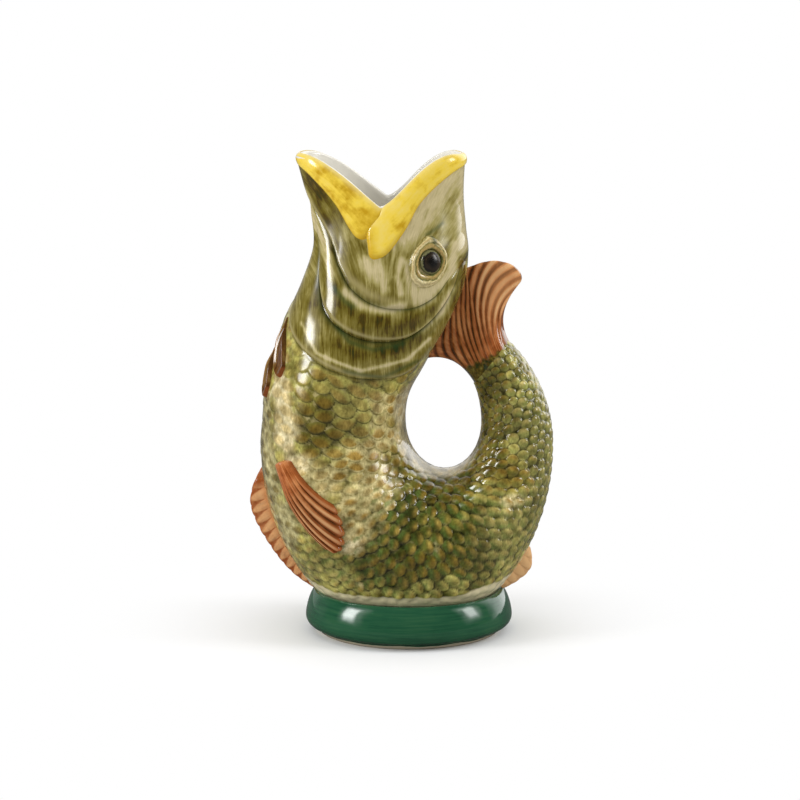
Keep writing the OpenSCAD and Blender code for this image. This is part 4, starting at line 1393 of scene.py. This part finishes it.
for name, rows, *sizes in (
    ("front_fin", front_fin_shares, 0.066, 0.230, 9 * MM, 13, 0.7, 1.0),
    ("rear_fin", rear_fin_shares, 0.470, 0.535, 6.5 * MM, 5, 3.0, 0.25),
):
    keel_fin = new_fan(name + "_rays", keel_columns, keel_rows, keel_shape(rows, *sizes))
    dress(keel_fin, fin_glaze, "fin_glaze", name)

# Tail fin: a thick fan of rays at the end of the tail, joined to the back of the head, so that the
# tail makes a closed handle. Brown at its root, it clears to orange and cream at its free corner.
tail_fin_lead = 18 * MM
tail_fin_reach = 31 * MM
tail_fin_crown = 5 * MM
tail_fin_edge_t = 5 * MM
tail_fin_low_share = 0.235
tail_fin_high_share = 0.575
tail_fin_nape_part = 0.6
tail_fin_lead_turn = math.radians(68)
tail_fin_rays = 11
tail_fin_sweep = 0.24
tail_fin_wander = 0.012
tail_fin_waves = 19
tail_fin_sink = 0.8 * MM
tail_fin_lap = 0.4 * MM
tail_fin_tooth_h = 0.15 * MM
tail_fin_seed = 11
tail_fin_chance = np.random.default_rng(tail_fin_seed).random((2, 2 * tail_fin_rays))
tail_fin_columns = 60
tail_fin_rows = 240


def tail_fin_shape(s, t):
    """Rays that sweep from the tail's end to the back of the head and to a free corner."""
    s = s * (1 - 0.13 * (1 - np.sqrt(1 - np.clip((t - 0.86) / 0.14, 0, 1) ** 2)))
    end_nape_x, end_nape_z, end_throat_x, end_throat_z, end_half_w = section(1.0)
    way_on = math.pi + tail_turn + math.pi / 2
    root_x = end_nape_x + (end_throat_x - end_nape_x) * t - tail_fin_sink * math.cos(way_on)
    root_z = end_nape_z + (end_throat_z - end_nape_z) * t - tail_fin_sink * math.sin(way_on)
    lead = math.pi + tail_turn + tail_fin_lead_turn
    lead_x, lead_z = root_x + tail_fin_lead * math.cos(lead), root_z + tail_fin_lead * math.sin(lead)
    corner = np.minimum(t / tail_fin_nape_part, 1)
    crown = np.maximum((t - tail_fin_nape_part) / (1 - tail_fin_nape_part), 0)
    nape_x, nape_z, *_ = section(-(tail_fin_low_share + (tail_fin_high_share - tail_fin_low_share) * corner))
    spread = t - tail_fin_sweep * s**2.5 + tail_fin_wander * np.sin(tail_fin_waves * t) + 0.5
    ray = ridges(spread, tail_fin_rays)
    number = np.clip((spread * tail_fin_rays).astype(int), 0, 2 * tail_fin_rays - 1)
    dark, pale = tail_fin_chance[:, number]
    edge_x = nape_x + tail_fin_reach * crown - tail_fin_lap
    edge_z = nape_z + tail_fin_crown * (np.sin(math.pi * crown) - crown / 2)
    edge_z = edge_z + tail_fin_tooth_h * ray * (crown > 0)
    x = (1 - s) ** 2 * root_x + 2 * s * (1 - s) * lead_x + s**2 * edge_x
    z = (1 - s) ** 2 * root_z + 2 * s * (1 - s) * lead_z + s**2 * edge_z
    round_half = np.maximum(end_half_w * np.sqrt(1 - (2 * t - 1) ** 2), tail_fin_edge_t / 2)
    half = round_half + (tail_fin_edge_t / 2 - round_half) * np.sin(math.pi / 2 * s)
    half = half + fin_ray_h * ray * np.sin(math.pi * s)
    free = soft_step(0.55, 0.65, t)
    half *= 1 - free * (1 - np.sqrt(1 - np.clip((s - 0.9) / 0.1, 0, 1) ** 2))
    half *= rounded(t, 0.05)
    root = soft_step(0.34, 0.12, s)
    near_head = soft_step(0.62, 0.25, t - 0.2 * s)
    depth = 0.42 + 0.75 * dark * (1 - 0.6 * soft_step(0.6, 0.9, t)) + 0.4 * near_head
    root_dark = 0.85 * root * soft_step(0.50, 0.10, t)
    corner_dark = 0.5 * root * soft_step(0.75, 0.95, t)
    furrow = soft_step(0.80, 0.60, ray) * depth * (1 - 0.7 * root) + root_dark + corner_dark
    stripe = soft_step(0.86, 0.93, ray) * (0.45 + 0.55 * pale) * (0.20 + 0.80 * soft_step(0.45, 0.85, t))
    return x, z, half, {
        "furrow": np.clip(furrow, 0, 1),
        "stripe": stripe * soft_step(0.25, 0.55, s),
        "light": soft_step(0.62, 0.88, t) * soft_step(0.35, 0.70, s),
        "shade": (0.18 + 0.45 * dark) * (1 - 0.6 * soft_step(0.65, 1.0, t)) * (1 - 0.8 * root),
        "scaly": soft_step(0.03, -0.03, s - 0.30 * (1 - t) ** 1.3 + 0.02 * np.sin(40 * t)),
    }


tail_fin = new_fan("tail_fin_rays", tail_fin_columns, tail_fin_rows, tail_fin_shape)
dress(tail_fin, fin_glaze, "fin_glaze", "tail_fin")

# Floor: a plain pale sheet of paper under the jug. It keeps the jug's shadow and clears to the white of
# the room further out.
bpy.ops.object.select_all(action="DESELECT")
bpy.ops.mesh.primitive_plane_add(size=12)
floor = bpy.context.object
floor.name = "studio_floor"
floor_near = 0.055
floor_far = 0.17
floor_lit = (0.55, 0.55, 0.54, 1)
floor_seen = (0.96, 0.96, 0.96, 1)
floor_shine = (0.16, 0.16, 0.16, 1)
floor_paper = bpy.data.materials.new("floor_paper")
floor_paper.use_nodes = True
paper = floor_paper.node_tree.nodes["Principled BSDF"]
paper.inputs["Roughness"].default_value = 0.9
paper.inputs["Specular IOR Level"].default_value = 0.0
floor_links = floor_paper.node_tree.links
floor_ray = node(floor_paper, "ShaderNodeLightPath").outputs
floor_place = node(floor_paper, "ShaderNodeTexCoord").outputs["Object"]
floor_reach = node(floor_paper, "ShaderNodeVectorMath", {0: floor_place}, operation="LENGTH").outputs["Value"]
floor_edge = span(floor_paper, floor_reach, floor_near, floor_far)
floor_clear = times(floor_paper, floor_edge, floor_ray["Is Camera Ray"])
floor_tint = lay(floor_paper, floor_ray["Is Camera Ray"], floor_lit, floor_seen)
floor_tint = lay(floor_paper, floor_ray["Is Glossy Ray"], floor_tint, floor_shine)
floor_links.new(floor_tint, paper.inputs["Base Color"])
room_white = node(floor_paper, "ShaderNodeEmission", {"Color": (1, 1, 1, 1), "Strength": 1.0}).outputs[0]
floor_mix = node(floor_paper, "ShaderNodeMixShader", {0: floor_clear, 1: paper.outputs[0], 2: room_white})
floor_links.new(floor_mix.outputs[0], floor_paper.node_tree.nodes["Material Output"].inputs["Surface"])
floor.data.materials.append(floor_paper)

# Light: a white room, bright behind the jug and dim on the camera's side, and a tall soft box at
# each side.
world = bpy.data.worlds.new("studio")
bpy.context.scene.world = world
world.use_nodes = True
room_ray = node(world, "ShaderNodeLightPath").outputs
room_dir = node(world, "ShaderNodeTexCoord").outputs["Generated"]
room_way = node(world, "ShaderNodeSeparateXYZ", {0: room_dir}).outputs
room_fill = span(world, room_way["Z"], -0.3, 0.9, 0.50, 0.95)
room_shine = span(world, room_way["Y"], 0.15, 0.80, 0.05, 1.0)


def way_to(turn, rise):
    """A direction from the jug: degrees round from its left side towards its tail, and degrees up."""
    a, e = math.radians(turn), math.radians(rise)
    return Vector((math.sin(a) * math.cos(e), -math.cos(a) * math.cos(e), math.sin(e)))


def facing(axis):
    """How far the directions of the room point along an axis."""
    ends = {0: room_dir, 1: axis}
    return node(world, "ShaderNodeVectorMath", ends, operation="DOT_PRODUCT").outputs["Value"]


def soft_box(turn, rise, wide, tall, level):
    """A glow with soft edges in the room, seen only in reflections. Its half sizes are angles, and a
    level below 0 is a dark flag."""
    towards, aside = way_to(turn, rise), way_to(turn + 90, 0)
    glow = level
    for axis, half in ((aside, wide), (towards.cross(aside), tall)):
        reach = math.sin(math.radians(half))
        inside = span(world, sum_of(world, "ABSOLUTE", facing(axis)), reach, reach * 0.35)
        glow = times(world, glow, inside, clamp=False)
    return times(world, glow, sum_of(world, "GREATER_THAN", facing(towards), 0.0), clamp=False)


for box in (
    (-68, 28, 20, 28, 2.0),
    (-70, 25, 11, 18, 15.0),
    (84, 28, 18, 24, 2.2),
    (84, 26, 10, 17, 7.5),
    (138, 8, 32, 60, 1.5),
    (-140, 8, 34, 60, -0.5),
):
    room_shine = sum_of(world, "ADD", room_shine, soft_box(*box), clamp=False)
room_shine = sum_of(world, "MAXIMUM", room_shine, 0.0, clamp=False)
shiny = sum_of(world, "MAXIMUM", room_ray["Is Glossy Ray"], room_ray["Is Transmission Ray"])
room_level = node(world, "ShaderNodeMix", {0: shiny, 2: room_fill, 3: room_shine}).outputs[0]
room_level = node(world, "ShaderNodeMix", {0: room_ray["Is Camera Ray"], 2: room_level, 3: 1.0}).outputs[0]
room = world.node_tree.nodes["Background"]
room.inputs["Color"].default_value = (1, 1, 1, 1)
world.node_tree.links.new(room_level, room.inputs["Strength"])

lamp_distance = 1.1
lamp_aim = Vector((0, 0, 0.12))
for name, turn, rise, wide, tall, watts in (
    ("left_box", -66, 16, 0.46, 0.60, 5.6),
    ("right_box", 84, 26, 0.36, 0.46, 3.8),
):
    towards = way_to(turn, rise)
    lamp_data = bpy.data.lights.new(name, "AREA")
    lamp_data.shape = "RECTANGLE"
    lamp_data.size, lamp_data.size_y = wide, tall
    lamp_data.energy = watts
    lamp = bpy.data.objects.new(name, lamp_data)
    bpy.context.scene.collection.objects.link(lamp)
    lamp.location = towards * lamp_distance + lamp_aim
    lamp.visible_glossy = False
    lamp.rotation_euler = towards.to_track_quat("Z", "Y").to_euler()

# Camera: a long lens a little above the jug and a little to the right of its side, so that the fish is
# seen in profile and the foot's upper side just shows.
camera_turn = 4
camera_rise = 10
camera_distance = 1.7
camera_aim = Vector((-0.0001, 0, 0.117))
camera_back = way_to(camera_turn, camera_rise)
camera_data = bpy.data.cameras.new("camera")
camera_data.lens = 153
camera_data.sensor_width = 36
camera = bpy.data.objects.new("camera", camera_data)
bpy.context.scene.collection.objects.link(camera)
camera.location = camera_aim + camera_back * camera_distance
camera.rotation_euler = camera_back.to_track_quat("Z", "Y").to_euler()
bpy.context.scene.camera = camera
bpy.context.scene.view_settings.view_transform = "Standard"
